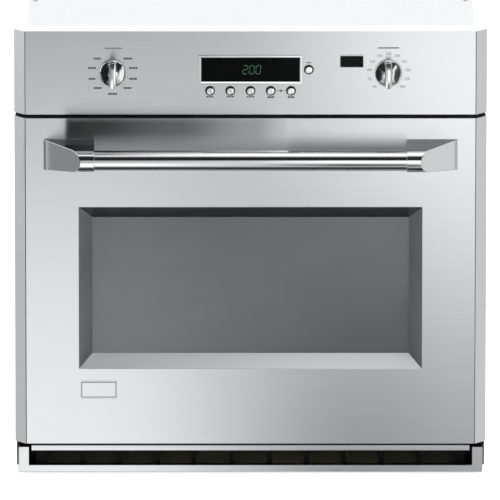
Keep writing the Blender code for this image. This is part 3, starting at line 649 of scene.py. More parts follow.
finishes = {
    "brushed_stainless": brushedSheet(),
    # turned and polished stainless: near mirror, with faint turning lines
    "polished_stainless": surface(
        "polishedStainless", ("#d6d8d9", 0.12, 1.0),
        ("Noise", (60, 3, 1.2), {"Detail": 4.0},
         {"colour": ("#d2d4d5", "#dadcdd"), "roughness": (0.08, 0.17), "relief": (0.006, 0.3)}),
    ),
    # hot-dip galvanised sheet: dull zinc with crystal spangle about 12 mm across
    "galvanised_sheet": surface(
        "galvanisedSheet", ("#c2c6c8", 0.42, 0.95),
        ("Voronoi", 12, {}, {"colour": ("#bec2c4", "#c8cbcd"), "roughness": (0.38, 0.48)}),
        ("Noise", 3, {"Detail": 5.0}, {"relief": (0.02, 0.4)}),
    ),
    # satin black powder coat on steel: fine orange peel; its black is set far darker than paint, as painted
    # shade for the slot under the door
    "black_painted_steel": surface(
        "blackPowderCoat", ("#070808", 0.5),
        ("Noise", 2, {"Detail": 3.0},
         {"colour": ("#050606", "#0a0b0b"), "roughness": (0.38, 0.52), "relief": (0.03, 0.5)}),
        Specular_IOR_Level=0.08,
    ),
    # porcelain enamel, blue-black with white specks about 1.5 mm across: glassy and a little wavy
    "porcelain_enamel": surface(
        "porcelainEnamel", ("#23262b", 0.2),
        ("Voronoi", 6, {}, {"colour": ("#aab0b8", "#22252a", 0.06, 0.13)}),
        ("Noise", 25, {"Detail": 2.0}, {"roughness": (0.14, 0.28), "relief": (0.15, 0.4)}),
        Coat_Weight=0.4,
    ),
    # tinted heat-reflecting glass: an even grey, with faint smears in its gloss
    "window_glass": surface(
        "tintedGlass", ("#54585b", 0.12),
        ("Noise", (90, 90, 40), {"Detail": 3.0},
         {"colour": ("#53575a", "#565a5d"), "roughness": (0.08, 0.18)}),
        IOR=1.52, Transmission_Weight=0.12, Coat_Weight=0.3,
    ),
    # black glass over the display: a hard gloss with a trace of dust
    "display_glass": surface(
        "displayGlass", ("#030404", 0.06),
        ("Noise", 9, {"Detail": 5.0}, {"colour": ("#020303", "#050606"), "roughness": (0.04, 0.1)}),
        IOR=1.5, Specular_IOR_Level=0.04,
    ),
    # moulded green acrylic: dark when unlit, with a soft gloss
    "green_lens": surface(
        "greenAcrylic", ("#04100c", 0.15),
        ("Noise", 4, {"Detail": 2.0}, {"colour": ("#030c08", "#07140f"), "roughness": (0.1, 0.2)}),
        IOR=1.49, Specular_IOR_Level=0.04,
    ),
    # moulded glass-filled nylon: black with a fine spark texture
    "black_plastic": surface(
        "blackNylon", ("#17181a", 0.5),
        ("Noise", 1.2, {"Detail": 4.0},
         {"colour": ("#131416", "#1d1e20"), "roughness": (0.42, 0.6), "relief": (0.04, 0.5)}),
    ),
    # solder-masked glass-epoxy board: green over a faint weave
    "circuit_board": surface(
        "solderMask", ("#1f5a2e", 0.35),
        ("Checker", 3, {}, {"relief": (0.03, 0.3)}),
        ("Noise", 8, {}, {"colour": ("#1a4f28", "#276a38")}),
        Coat_Weight=0.3,
    ),
    # glass wool blanket: matt yellow fibres in flocks about 15 mm across
    "glass_wool": surface(
        "glassWool", ("#d8c88a", 0.95),
        ("Noise", (15, 15, 6), {"Detail": 8.0, "Roughness": 0.7},
         {"colour": ("#c4b271", "#e6d9a4"), "relief": (2.0, 0.8)}),
        Sheen_Weight=0.4,
    ),
    # braided glass-fibre rope: dark grey strands with a dry sheen
    "woven_seal": surface(
        "braidedGlassRope", ("#3d3f40", 0.85),
        ("Wave", 1.6, {"Distortion": 3.0}, {"colour": ("#2e3031", "#4d5051"), "relief": (0.15, 0.6)}),
        Sheen_Weight=0.3,
    ),
    # nickel-plated steel wire: bright, with faint drawing lines
    "plated_wire": surface(
        "platedWire", ("#c8c6c1", 0.22, 1.0),
        ("Noise", (2, 30, 2), {"Detail": 4.0}, {"colour": ("#bdbbb5", "#d2d0cb"), "roughness": (0.16, 0.3)}),
    ),
    # oxidised nickel-alloy sheath: dark grey-brown with a dry heat bloom
    "heating_tube": surface(
        "heatingSheath", ("#3a3633", 0.5, 0.7),
        ("Noise", 18, {"Detail": 6.0},
         {"colour": ("#2c2926", "#4d4640"), "roughness": (0.42, 0.66), "relief": (0.05, 0.4)}),
    ),
}
# the inner panes: clear toughened glass with a slight green body
clearGlass = surface(
    "clearGlass", ("#c9d2cf", 0.05),
    ("Noise", (120, 120, 60), {"Detail": 3.0}, {"roughness": (0.03, 0.09)}),
    IOR=1.52, Transmission_Weight=0.92,
)
# screen-printed ink: matt dark grey with a slightly broken film
panelInk = surface(
    "panelInk", ("#2b2d2f", 0.6),
    ("Noise", 0.8, {"Detail": 2.0}, {"colour": ("#242628", "#35383a"), "roughness": (0.5, 0.7)}),
)
# fluorescent display segments: dim green behind smoked glass
litSegment = surface(
    "litSegment", ("#0a2018", 0.3), ("Noise", 2, {"Detail": 1.0}, {"colour": ("#081a13", "#0c261c")}),
    Emission_Color=linear("#12805a"), Emission_Strength=0.24,
)
# the top and sides of the window recess: the same polished sheet, darkened to paint the shade on them; the
# sill keeps the bright finish
recessPaintedShade = surface(
    "tintedRecess", ("#797c7e", 0.2, 1.0),
    ("Noise", (40, 8, 8), {"Detail": 4.0}, {"colour": ("#747779", "#7e8183"), "roughness": (0.16, 0.26)}),
)
steel, zinc = finishes["polished_stainless"], finishes["galvanised_sheet"]
bright = finishes["plated_wire"]
print("materials are mixed")


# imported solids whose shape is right, with their edges rounded as bent, moulded or tumbled

softEdges = {
    "brushed_stainless": {
        "control_panel": 0.6, "door_skin": 0.6,
    },
    "polished_stainless": {"latch_hook": 0.6},
    "galvanised_sheet": {
        "top_panel": 0.4, "side_panel_left": 0.4, "side_panel_right": 0.4, "rear_panel": 0.4,
        "base_pan": 0.4, "junction_box": 0.5, "hinge_receiver_left": 0.8, "hinge_receiver_right": 0.8,
        "hinge_arm_left": 0.8, "hinge_arm_right": 0.8, "latch_housing": 0.8, "blower_housing": 0.4,
        "convection_fan_motor": 1.0, "blower_motor": 1.0,
    },
    # the front frame, a stainless sheet, is given this black as painted shade where it shows behind the slot
    "black_painted_steel": {"vent_grille": 0.4, "glass_frame": 0.6, "front_frame": 0.3},
    "porcelain_enamel": {"door_liner": 0.5, "fan_cover": 0.45, "oven_cavity": 0.3},
    "window_glass": {"door_glass_outer": 0.8},
    "display_glass": {"display_window": 0.5},
    "green_lens": {"indicator_window": 0.6},
    "black_plastic": {"door_switch": 1.0, "mode_switch": 1.2, "temperature_switch": 1.2},
}


def soften(node, slot, width):
    bm = bmesh.new()
    bm.from_mesh(nodes[node].data)
    bmesh.ops.remove_doubles(bm, verts=bm.verts, dist=0.01 * mm)
    bmesh.ops.dissolve_limit(bm, angle_limit=math.radians(0.5), verts=bm.verts, edges=bm.edges)
    piece = roundEdges(putIn(f"{node}_finished", meshFrom(node, bm), finishes[slot]), width)
    if slot == "brushed_stainless":
        layGrain(piece)
    return fit(piece, nodes[node]["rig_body"], slot, node)


def tintRecess(skin):
    # the slanted walls round the glass, apart from the sill, take the painted shade
    skin.data.materials.append(recessPaintedShade)
    low, high = span("door_glass_outer")
    for face in skin.data.polygons:
        centre = face.center / mm
        near = abs(centre.x) < high.x + 14 and low.z - 14 < centre.z < high.z + 14
        slanted = -0.9 < face.normal.y < -0.5
        if near and slanted and face.normal.z < 0.5 and centre.y < high.y:
            face.material_index = 1


for slot, widths in softEdges.items():
    for node, width in widths.items():
        finished = soften(node, slot, width)
        # the recess walls of the door skin get their painted shade
        if node == "door_skin":
            tintRecess(finished)
print("sheet, castings and mouldings have their edges")


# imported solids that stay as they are, with a better finish

keptNodes = {
    "galvanised_sheet": ("convection_fan", "blower_wheel"),
    "circuit_board": ("control_board",),
    "glass_wool": ("insulation_blanket",),
    "black_plastic": ("switch_plunger",),
    "window_glass": ("door_glass_middle", "door_glass_inner"),
}
for slot, names in keptNodes.items():
    for name in names:
        material = clearGlass if slot == "window_glass" else finishes[slot]
        nodes[name].data.materials.clear()
        nodes[name].data.materials.append(material)


# a thin ink-dark strip of painted shade along the line where the folded side of the panel and of the door
# meets the face

foldShade = {"wide": 1.0, "thick": 0.05, "lift": 0.004, "in": 0.9, "short": 0.5, "fold": 0.34}


def makeSeams(node, name, body):
    low, high = span(node)
    # the flat face ends at its outermost vertices that still lie in its plane
    flat = [v.co.x for v in nodes[node].data.vertices if v.co.y < (front + 0.1) * mm]
    faceHalf = min(x for x in flat if x > foldShade["fold"]) / mm
    bm = bmesh.new()
    for side in (-1, 1):
        x = side * (faceHalf - foldShade["in"])
        near = (x - foldShade["wide"] / 2, front - foldShade["thick"], low.z + foldShade["short"])
        box(near, (x + foldShade["wide"] / 2, front - foldShade["lift"], high.z - foldShade["short"]), bm)
    # the strip is dark ink: painted shade at the fold
    build(name, bm, body, "black_plastic", material=panelInk)


makeSeams("control_panel", "panelSeams", "chassis")
makeSeams("door_skin", "doorSeams", "door")


# the handle: a tube between two end brackets, each a tall foot that runs into a round collar

handle = {"collarWide": 18.4, "collarAt": 249, "slope": 0.87, "edge": 0.9, "play": 0.4, "taper": 1.5}


def makeHandle():
    low, high, _, z = centred("handle_bar")
    y = (low.y + high.y) / 2
    radius, reach = (high.z - low.z) / 2, high.x
    tip = radius - handle["taper"]
    bar = turned("x", (y, z), [(-reach, tip), (1 - reach, radius), (reach - 1, radius), (reach, tip)], 72)
    build("handleTube", bar, "door", "brushed_stainless", "handle_bar", material=steel)
    for side, node, name in (
        (-1, "handle_bracket_left", "handleBracketLeft"), (1, "handle_bracket_right", "handleBracketRight"),
    ):
        low, high = span(node)
        outer, foot = max(abs(low.x), abs(high.x)), high.y
        bm = bmesh.new()
        for x in (handle["collarAt"] + 1, outer):
            for corner in (low.z, high.z):
                bm.verts.new((side * x, foot, corner))
        for a, b in circle(y, z, handle["collarWide"], 64):
            bm.verts.new((side * handle["collarAt"], a, b))
            bm.verts.new((side * (outer - handle["slope"] * (foot - a)), a, b))
        result = bmesh.ops.convex_hull(bm, input=bm.verts)
        inside = [v for v in result["geom_interior"] if isinstance(v, bmesh.types.BMVert)]
        bmesh.ops.delete(bm, geom=inside, context="VERTS")
        bmesh.ops.recalc_face_normals(bm, faces=bm.faces)
        bmesh.ops.dissolve_limit(bm, angle_limit=math.radians(1), verts=bm.verts, edges=bm.edges)
        bracket = roundEdges(store("bracket", bm, steel), handle["edge"], 3)
        ends = sorted((side * (handle["collarAt"] - 6), side * (reach + 0.5)))
        bore = turned("x", (y, z), [(end, radius + handle["play"]) for end in ends])
        bracket = boolean(bracket, store("bore", bore, steel), "DIFFERENCE")
        bracket.name = name
        fit(bracket, "door", "polished_stainless", node)


makeHandle()
print("the handle is on")


# the knobs: a turned base with a shallow dish, and a blade whose sides sweep down into it

knob = {
    "base": (
        (-0.3, 21.4), (-0.7, 21.75), (-3.4, 21.75), (-4.4, 21.3), (-5.2, 20.3), (-6.6, 17.6), (-8.4, 14.1),
        (-10.2, 10.5), (-11.6, 7.2), (-12.4, 4), (-12.6, 1),
    ),
    # forward of the panel, half width, half height and corner of the blade
    "blade": (
        (-3.5, 8.0, 19.6, 6.0), (-6.4, 7.4, 20.2, 5.6), (-9.0, 6.5, 20.9, 5.2), (-11.5, 5.9, 21.3, 4.8),
        (-15.0, 5.5, 21.5, 4.4), (-19.0, 5.3, 21.4, 4.2), (-23.8, 5.2, 21.2, 4.0), (-24.6, 4.9, 20.9, 3.8),
        (-24.95, 4.4, 20.4, 3.4),
    ),
    "shaft": 3.0,
    "pointer": (-24.96, 1.2, 1.5, 16.0),  # forward, half width, half height, above the centre
}


def makeKnob(node, name):
    _, high, x, z = centred(node)
    base = store("base", turned("y", (x, z), [(front + y, r) for y, r in knob["base"]], 96), steel)
    sections = [(front + y, roundedBox(x, z, *sizes, 8)) for y, *sizes in knob["blade"]]
    piece = boolean(base, store("blade", loft("y", sections), steel), "UNION")
    shaft = turned("y", (x, z), [(front - 3, knob["shaft"]), (high.y, knob["shaft"])], 24)
    piece = boolean(piece, store("shaft", shaft, steel), "UNION")
    piece.name = name
    fit(piece, node, "polished_stainless", node)
    forward, halfWide, halfTall, above = knob["pointer"]
    outline = roundedBox(x, z + above, halfWide, halfTall, 1.0)
    mark = loft("y", [(front + forward, outline), (front + forward + 0.6, outline)])
    build(f"{name}Pointer", mark, node, "black_plastic", material=panelInk)
    return x, z


modeDial = makeKnob("mode_knob", "modeKnob")
heatDial = makeKnob("temperature_knob", "temperatureKnob")


# the buttons: domed caps, each in a black moulded ring

button = {
    "cap": 6.5,
    "dome": ((-0.9, 6.5), (-1.7, 6.2), (-2.2, 5.4), (-2.45, 4.2), (-2.5, 2.6), (-2.4, 0.8)),
    "ring": ((-0.02, 6.7), (-0.6, 6.8), (-0.9, 7.2), (-0.6, 7.7), (-0.02, 7.8)),
}
buttonPlaces = []
for count in range(1, 7):
    node = f"button_{count}"
    low, high, *centre = centred(node)
    buttonPlaces.append(centre)
    profile = [(high.y, button["cap"])] + [(front + y, r) for y, r in button["dome"]]
    build(f"buttonCap{count}", turned("y", centre, profile, 40), node, "polished_stainless", node)
    ring = turned("y", centre, [(front + y, r) for y, r in button["ring"]], 40, ring=True)
    build(f"buttonRing{count}", ring, "chassis", "black_plastic")
print("knobs and buttons are turned")


# what is printed on the panel: generic dashes round the mode dial, numbers round the other

printed = {
    "thick": 0.06, "between": 0.55, "modeReach": 34, "modeAngles": (46, 76, 106, 136), "word": 3.3,
    "dotReach": 25.2, "heatReach": 31.5, "number": 6.0, "heats": range(50, 301, 25), "heatStep": 27,
    "scaleReach": 23.8, "scaleStart": 18, "scaleStep": 14.1, "scaleMarks": 24,
    # bars in place of a word: their widths, how far right of and above a centre, and how tall
    "modeWords": (((6.4, 2.6, 3.2, 2.4, 3.4, 6.0), 1, 40.5, 1.5), ((3.4, 2.8, 3.6, 3.0), 0, -34, 3.3)),
    "heatWords": (((3.2, 3.8, 2.6, 3.6, 3.0, 3.8, 3.0, 2.8, 3.4), 0, 41, 2.2),),
    "buttonWords": (
        ((3.2, 4.4, 3.0), 0, -9.8, 2.0), ((3.8, 3.0, 3.6), 0, -9.8, 2.0), ((2.6, 4.2, 3.8), 0, -9.8, 2.0),
        ((3.2, 2.8, 3.2), 0, -10.4, 3.2), ((3.4, 3.2, 2.6), 0, -10.4, 3.2), ((1.8, 2.2, 1.8), 0, 11.2, 2.0),
    ),
    # the line between the fourth and fifth button, and the dot on it
    "linkShort": 17.5, "linkTall": 0.7, "linkDot": 1.7,
}


def inked(bm, outline):
    return loft("y", [(front - printed["thick"], outline), (front - gap, outline)], bm)


def slab(bm, x, z, wide, tall):
    # a thin bar of ink, centred
    inked(bm, roundedBox(x, z, wide / 2, tall / 2, min(wide, tall) * 0.3, 2))


def dashes(bm, x, z, widths, tall):
    # a row of short bars in place of a word
    start = x - (sum(widths) + printed["between"] * (len(widths) - 1)) / 2
    for wide in widths:
        slab(bm, start + wide / 2, z, wide, tall)
        start += wide + printed["between"]


def numeral(text, x, z, size):
    curve = bpy.data.curves.new(text, "FONT")
    curve.body = text
    curve.size = size * mm
    curve.align_x, curve.align_y = "CENTER", "CENTER"
    curve.resolution_u = 2
    curve.extrude = printed["thick"] / 2 * mm
    mesh = takeMesh(link(text, curve))
    spot = Vector((x, front - printed["thick"] / 2 - gap, z)) * mm
    mesh.transform(Matrix.Translation(spot) @ Matrix.Rotation(math.pi / 2, 4, "X"))
    return putIn(text, mesh, panelInk)


def around(centre, reach, degrees):
    # a place on a dial, clockwise from its top
    angle = math.radians(degrees)
    return centre[0] + reach * math.sin(angle), centre[1] + reach * math.cos(angle)


def makePrint():
    bm = bmesh.new()
    for centres, words in (
        ((modeDial, modeDial), "modeWords"), ((heatDial,), "heatWords"), (buttonPlaces, "buttonWords"),
    ):
        for (x, z), (widths, right, up, tall) in zip(centres, printed[words]):
            dashes(bm, x + right, z + up, widths, tall)
    for side in (-1, 1):
        for degrees in printed["modeAngles"]:
            widths = [random.uniform(2.0, 3.6) for _ in range(4)]
            dashes(bm, *around(modeDial, printed["modeReach"], side * degrees), widths, printed["word"])
            slab(bm, *around(modeDial, printed["dotReach"], side * degrees), 1.5, 1.0)
    for n in range(printed["scaleMarks"]):
        degrees = printed["scaleStart"] + n * printed["scaleStep"]
        slab(bm, *around(heatDial, printed["scaleReach"], degrees), 0.8, 0.8)
    (first, z), (second, _) = buttonPlaces[3:5]
    middle = (first + second) / 2
    slab(bm, middle, z, abs(second - first) - printed["linkShort"], printed["linkTall"])
    inked(bm, circle(middle, z, printed["linkDot"], 16))
    parts = [store("ink", bm, panelInk)]
    for n, heat in enumerate(printed["heats"]):
        place = around(heatDial, printed["heatReach"], (n - 5) * printed["heatStep"])
        parts.append(numeral(str(heat), *place, printed["number"]))
    fit(joined("panelPrint", parts, panelInk), "chassis", "black_plastic")


makePrint()


# the display: a bevelled frame, and three seven-segment digits on the black glass

bezel = {"corner": 1.5, "edge": 0.4, "slope": 1.4, "lensRim": 1.8, "lensProud": 1.6}


def makeBezel(name, low, high, glass, *replaced):
    # low and high are its own box; the slope runs in from its front to the edge of the glass
    glassLow, glassHigh = span(glass)
    x, z = (low.x + high.x) / 2, (low.z + high.z) / 2
    wide, tall = (high.x - low.x) / 2, (high.z - low.z) / 2
    innerWide, innerTall = (glassHigh.x - glassLow.x) / 2 - 0.05, (glassHigh.z - glassLow.z) / 2 - 0.05
    corner, edge, slope = bezel["corner"], bezel["edge"], bezel["slope"]
    ring = loft("y", [
        (high.y, roundedBox(x, z, wide, tall, corner)),
        (low.y + edge, roundedBox(x, z, wide, tall, corner)),
        (low.y, roundedBox(x, z, wide - edge, tall - edge, corner - edge)),
        (low.y, roundedBox(x, z, innerWide + slope, innerTall + slope, 0.8)),
        (glassLow.y - 0.02, roundedBox(x, z, innerWide, innerTall, 0.4)),
        (high.y, roundedBox(x, z, innerWide, innerTall, 0.4)),
    ], ring=True)
    build(name, ring, "chassis", "brushed_stainless", *replaced, material=steel, angle=20)


makeBezel("displayFrame", *span("display_bezel"), "display_window", "display_bezel")
lensLow, lensHigh = span("indicator_window")
rim = Vector((bezel["lensRim"], 0, bezel["lensRim"]))
lensLow, lensHigh = lensLow - rim, lensHigh + rim
lensLow.y, lensHigh.y = front - bezel["lensProud"], front - 0.02
makeBezel("indicatorFrame", lensLow, lensHigh, "indicator_window")

digit = {
    "wide": 7.2, "tall": 13.4, "pitch": 10.4, "bar": 1.6, "between": 0.35, "lean": 0.08, "raised": 0.4,
    "right": 2.0,
    # each segment from one corner to another, in half widths and half heights
    "segments": {
        "top": ((-1, 1), (1, 1)), "middle": ((-1, 0), (1, 0)), "bottom": ((-1, -1), (1, -1)),
        "upperLeft": ((-1, 0), (-1, 1)), "upperRight": ((1, 0), (1, 1)),
        "lowerLeft": ((-1, -1), (-1, 0)), "lowerRight": ((1, -1), (1, 0)),
    },
    "two": ("top", "upperRight", "middle", "lowerLeft", "bottom"),
    "zero": ("top", "upperLeft", "upperRight", "lowerLeft", "lowerRight", "bottom"),
}


def makeDigits():
    low, _, x, z = centred("display_window")
    x, z = x + digit["right"], z + digit["raised"]
    half = Vector((digit["wide"] / 2, digit["tall"] / 2))
    bm = bmesh.new()
    for place, shown in ((-1, "two"), (0, "zero"), (1, "zero")):
        for segment in digit[shown]:
            start, end = (Vector(corner) * half for corner in digit["segments"][segment])
            along = (end - start).normalized()
            across = Vector((-along.y, along.x)) * digit["bar"] / 2
            start, end = start + along * digit["between"], end - along * digit["between"]
            inset = along * digit["bar"] / 2
            outline = [
                (x + place * digit["pitch"] + point.x + digit["lean"] * point.y, z + point.y)
                for point in (
                    start, start + inset + across, end - inset + across,
                    end, end - inset - across, start + inset - across,
                )
            ]
            loft("y", [(low.y - 0.05, outline), (low.y - gap, outline)], bm)
    build("displayDigits", bm, "chassis", "green_lens", material=litSegment)


makeDigits()
print("the panel is printed and lit")


# the badge: a blank plate with a raised outline

badge = {"edge": 0.5, "inset": 1.6, "line": 1.1, "side": 0.75, "face": 0.35, "rise": 0.2}


def makeBadge():
    low, high, x, z = centred("badge_plate")
    sizes = (x, z, (high.x - low.x) / 2, (high.z - low.z) / 2)
    side, face, rise = (low.y + badge[part] for part in ("side", "face", "rise"))
    outer, inner = badge["inset"], badge["inset"] + badge["line"]
    plate = stack("y", *sizes, ((high.y, 0, 2), (side, 0, 2), (face, badge["edge"], 1.6)))
    plate = layGrain(store("badgePlate", plate, finishes["brushed_stainless"]))
    fit(plate, "door", "polished_stainless", "badge_plate")
    back = face - gap
    rim = ((back, outer, 1.2), (rise, outer, 1.2), (rise, inner, 0.8), (back, inner, 0.8))
    ring = stack("y", *sizes, rim, ring=True)
    build("badgeOutline", ring, "door", "black_plastic", material=panelInk)


makeBadge()


# screws: pan heads with a cross recess, 4 mm thread

screw = {
    "head": 4.0, "tall": 2.2, "points": 1.9, "waist": 0.75, "floor": 0.35, "taper": 0.6, "sunk": 0.05,
    # shares of the height and of the radius
    "dome": ((0, 1), (0.45, 1), (0.8, 0.82), (1, 0.58)),
}


def screwHead():
    # made facing up, its foot at the origin
    radius, tall = screw["head"], screw["tall"]
    star = []
    for n in range(16):
        reach = screw["points"] if n % 4 == 0 else screw["waist"]
        star.append((reach * math.cos(n * math.pi / 8), reach * math.sin(n * math.pi / 8)))
    inner = [(a * screw["taper"], b * screw["taper"]) for a, b in star]
    sections = [(up * tall, circle(0, 0, radius * share, 16)) for up, share in screw["dome"]]
    head = store("screwHead", loft("z", sections + [(tall, star), (tall * screw["floor"], inner)]), zinc)
    head.hide_render = True
    return head


headShape = screwHead()
caseLow, caseHigh = span("side_panel_left")[0], span("side_panel_right")[1]
topHigh, rearHigh, linerHigh = (span(node)[1] for node in ("top_panel", "rear_panel", "door_liner"))


def makeScrews():
    sunk = screw["sunk"]
    rear, top, liner = rearHigh.y - sunk, topHigh.z - sunk, linerHigh.y - sunk
    sides = [(y, z) for y in (-205, 60, 325) for z in (22, 690)]
    for name, points, facing, body in (
        ("rearScrews", [(x, rear, z) for x in (-345, -170, 0, 170, 345) for z in (16, 698)]
         + [(x, rear, z) for x in (-345, 345) for z in (240, 470)], (-math.pi / 2, 0, 0), "chassis"),
        ("topScrews", [(x, y, top) for x in (-348, 348) for y in (40, 180, 320)]
         + [(x, 320, top) for x in (-120, 120)], (0, 0, 0), "chassis"),
        ("leftSideScrews", [(caseLow.x + sunk, y, z) for y, z in sides], (0, -math.pi / 2, 0), "chassis"),
        ("rightSideScrews", [(caseHigh.x - sunk, y, z) for y, z in sides], (0, math.pi / 2, 0), "chassis"),
        ("linerScrews", [(x, liner, z) for x in (-352, 352) for z in (120, 300, 480, 560)]
         + [(x, liner, 68) for x in (-180, 0, 180)], (-math.pi / 2, 0, 0), "door"),
    ):
        values = {"Shape": headShape, "Facing": facing, "Spin": math.pi}
        piece = grow(name, copiesTree, values, zinc, points)
        fit(piece, body, "galvanised_sheet")


makeScrews()


# the trim under the door: a folded lip with an end piece at each side, and a strip over the slot

trim = {
    "sheet": 1.5, "bend": 0.9, "slotLow": 10.9, "slotHigh": 35.6, "stripHalf": 351.8, "endWide": 16.6,
    "endTop": 41,
}


def folded(firstEnd, corner, secondEnd, inward, steps=5):
    # the outline of a sheet folded once: from one end to the corner to the other end, and back inside
    firstEnd, corner, secondEnd, inward = (Vector(p) for p in (firstEnd, corner, secondEnd, inward))
    a, b = (firstEnd - corner).normalized(), (secondEnd - corner).normalized()
    sides = []
    for offset in (0, trim["sheet"]):
        radius = max(trim["bend"] - offset, 0.1)
        middle = corner + inward * offset + (a + b) * radius
        points = [firstEnd + b * offset]
        for n in range(steps + 1):
            angle = math.pi / 2 * n / steps
            points.append(middle - b * radius * math.cos(angle) - a * radius * math.sin(angle))
        sides.append(points + [secondEnd + a * offset])
    return [tuple(p) for p in sides[0] + sides[1][::-1]]


def makeTrim():
    low, high = span("vent_trim")
    brushed = finishes["brushed_stainless"]
    outline = folded((low.y, trim["slotHigh"]), (low.y, high.z), (high.y, high.z), (1, -1))
    strip = store("strip", loft("x", [(side * trim["stripHalf"], outline) for side in (-1, 1)]), brushed)
    outline = folded((low.y, trim["slotLow"]), (low.y, low.z), (high.y, low.z), (1, 1))
    made = store("lip", loft("x", [(low.x + 0.8, outline), (high.x - 0.8, outline)]), brushed)
    ends = []
    for side in (-1, 1):
        edge = side * high.x
        outline = folded((edge - side * trim["endWide"], low.y), (edge, low.y), (edge, high.y), (-side, 1))
        ends.append(store("end", loft("z", [(low.z + 0.6, outline), (trim["endTop"], outline)]), brushed))
    for end in ends:
        made = boolean(made, end, "UNION")
    made = layGrain(joined("ventTrim", [made, strip], brushed))
    fit(made, "chassis", "brushed_stainless", "vent_trim")


makeTrim()


# the shelves: bright wire, three thick rods across under a row of thin ones, inside a bent frame

shelf = {
    "frame": 2.9, "thin": 1.5, "rod": 2.1, "wires": 27, "corner": 22, "margin": 20, "thinUp": 1.3,
    "rodDown": 0.8, "rodStart": 0.2, "rodStep": 0.3,
}


def wireRow(name, wires, start, step, radius, length, facing):
    # round wires in a row, all in millimetres
    return grow(name, wiresTree, {
        "Wires": wires, "Start": Vector(start) * mm, "Step": Vector(step) * mm, "Radius": radius * mm,
        "Length": length * mm, "Facing": facing,
    }, bright)


def loop(axis, along, low, high, inset, radius):
    # a rounded loop across an axis, inside a box
    a, b = (n for n in range(3) if "xyz"[n] != axis)
    corners = (
        (low[a] + inset, low[b] + inset), (high[a] - inset, low[b] + inset),
        (high[a] - inset, high[b] - inset), (low[a] + inset, high[b] - inset),
    )
    return bentRoute([onAxis(axis, along, *corner) for corner in corners], radius, closed=True)


def makeShelf(node, name):
    low, high = span(node)
    r = shelf["frame"]
    y, z = (low.y + high.y) / 2, (low.z + high.z) / 2
    wide, deep = high.x - low.x, high.y - low.y
    step = (wide - 2 * shelf["margin"]) / (shelf["wires"] - 1)
    fit(joined(name, [
        tube("frame", loop("z", z, low, high, r, shelf["corner"]), r, bright, closed=True),
        wireRow(
            "wires", shelf["wires"], (low.x + shelf["margin"], y, z + shelf["thinUp"]), (step, 0, 0),
            shelf["thin"], deep - 2 * r, (math.pi / 2, 0, 0),
        ),
        wireRow(
            "rods", 3, (0, low.y + deep * shelf["rodStart"], z - shelf["rodDown"]),
            (0, deep * shelf["rodStep"], 0), shelf["rod"], wide - 2 * r, (0, math.pi / 2, 0),
        ),
    ], bright), node, "plated_wire", node)


makeShelf("rack_lower", "shelfLower")
makeShelf("rack_upper", "shelfUpper")


# the side guides: a welded ladder with a bent runner for each level

guide = {
    "upright": 2.4, "runner": 2.0, "levels": 5, "apart": 60, "bend": 16, "runnerBend": 8, "runIn": 18,
    "wallGap": 0.1, "under": 0.3,
}


def makeGuide(node, name, side):
    low, high = span(node)
    r, runner = guide["upright"], guide["runner"]
    wall = side * (max(abs(low.x), abs(high.x)) - r - guide["wallGap"])
    inside = side * (min(abs(low.x), abs(high.x)) + runner)
    third = (high.y - low.y) / 3
    parts = [
        tube("ladder", loop("x", wall, low, high, r, guide["bend"]), r, bright, closed=True),
        wireRow(
            "uprights", 2, (wall, low.y + third, (low.z + high.z) / 2), (0, third, 0), r,
            high.z - low.z - 2 * r, (0, 0, 0),
        ),
    ]
    shelfLow = span("rack_lower")[0].z
    for level in range(guide["levels"]):
        z = shelfLow + (level - 1) * guide["apart"] - guide["under"] - runner
        near, far = low.y + guide["runIn"], high.y - guide["runIn"]
        route = [(wall, low.y + r, z), (inside, near, z), (inside, far, z), (wall, high.y - r, z)]
        parts.append(tube("runner", bentRoute(route, guide["runnerBend"]), runner, bright))
    fit(joined(name, parts, bright), "chassis", "plated_wire", node)


makeGuide("rack_guide_left", "shelfGuideLeft", -1)
makeGuide("rack_guide_right", "shelfGuideRight", 1)
print("shelves and guides are bent")


# the heating elements: round sheathed tube with end collars where it goes through the back

element = {
    "radius": 3.4, "inset": 3.5, "bend": 26, "foot": 55, "legBack": 70, "foldBack": 130, "end": 0.2,
    "clips": (90, 230), "clipHalf": 4,
    # forward of the back wall, and out from the tube
    "collar": ((9, 0.1), (8, 2.2), (2, 2.2), (1, 4.5), (0.2, 4.5)),
}


def makeElements():
    sheath = finishes["heating_tube"]
    r, foot = element["radius"], element["foot"]
    for node, name in (("broil_element", "grillElement"), ("bake_element", "bottomElement")):
        low, high, _, z = centred(node)
        reach, near = high.x - element["inset"], low.y + element["inset"]
        leg, fold, end = (high.y - element[part] for part in ("legBack", "foldBack", "end"))
        half = [
            (foot, end, z), (foot, leg, z), (reach, leg, z), (reach, near, z), (reach / 2, near, z),
            (reach / 2, fold, z),
        ]
        corners = half + [(-x, y, z) for x, y, z in reversed(half)]
        parts = [tube("route", bentRoute(corners, element["bend"]), r, sheath)]
        for side in (-1, 1):
            collar = [(high.y - back, r + out) for back, out in element["collar"]]
            parts.append(store("collar", turned("y", (side * foot, z), collar, 24), sheath))
        for back in element["clips"]:
            # cross clips that hold the runs level
            y, thick = near + back, element["clipHalf"]
            clip = box((-reach - 2, y - thick, z - r - 0.9), (reach + 2, y + thick, z - r - 0.1))
            parts.append(store("clip", clip, sheath))
        fit(joined(name, parts, sheath), "chassis", "heating_tube", node)
    low, high = span("convection_element")
    radius = high.x - element["inset"]
    centre = (0, high.z - element["inset"] - radius)
    y, end = low.y + element["inset"], high.y - element["end"]
    ring = [(x, y, z) for x, z in (around(centre, -radius, -degrees) for degrees in range(20, 341, 5))]
    (first, _, firstUp), (last, _, lastUp) = ring[0], ring[-1]
    route = [(first, end, firstUp), *ring, (last, end, lastUp)]
    fit(tube("fanElement", route, r, sheath), "chassis", "heating_tube", "convection_element")


makeElements()


# the lamp: a ribbed glass dome in a pressed ring

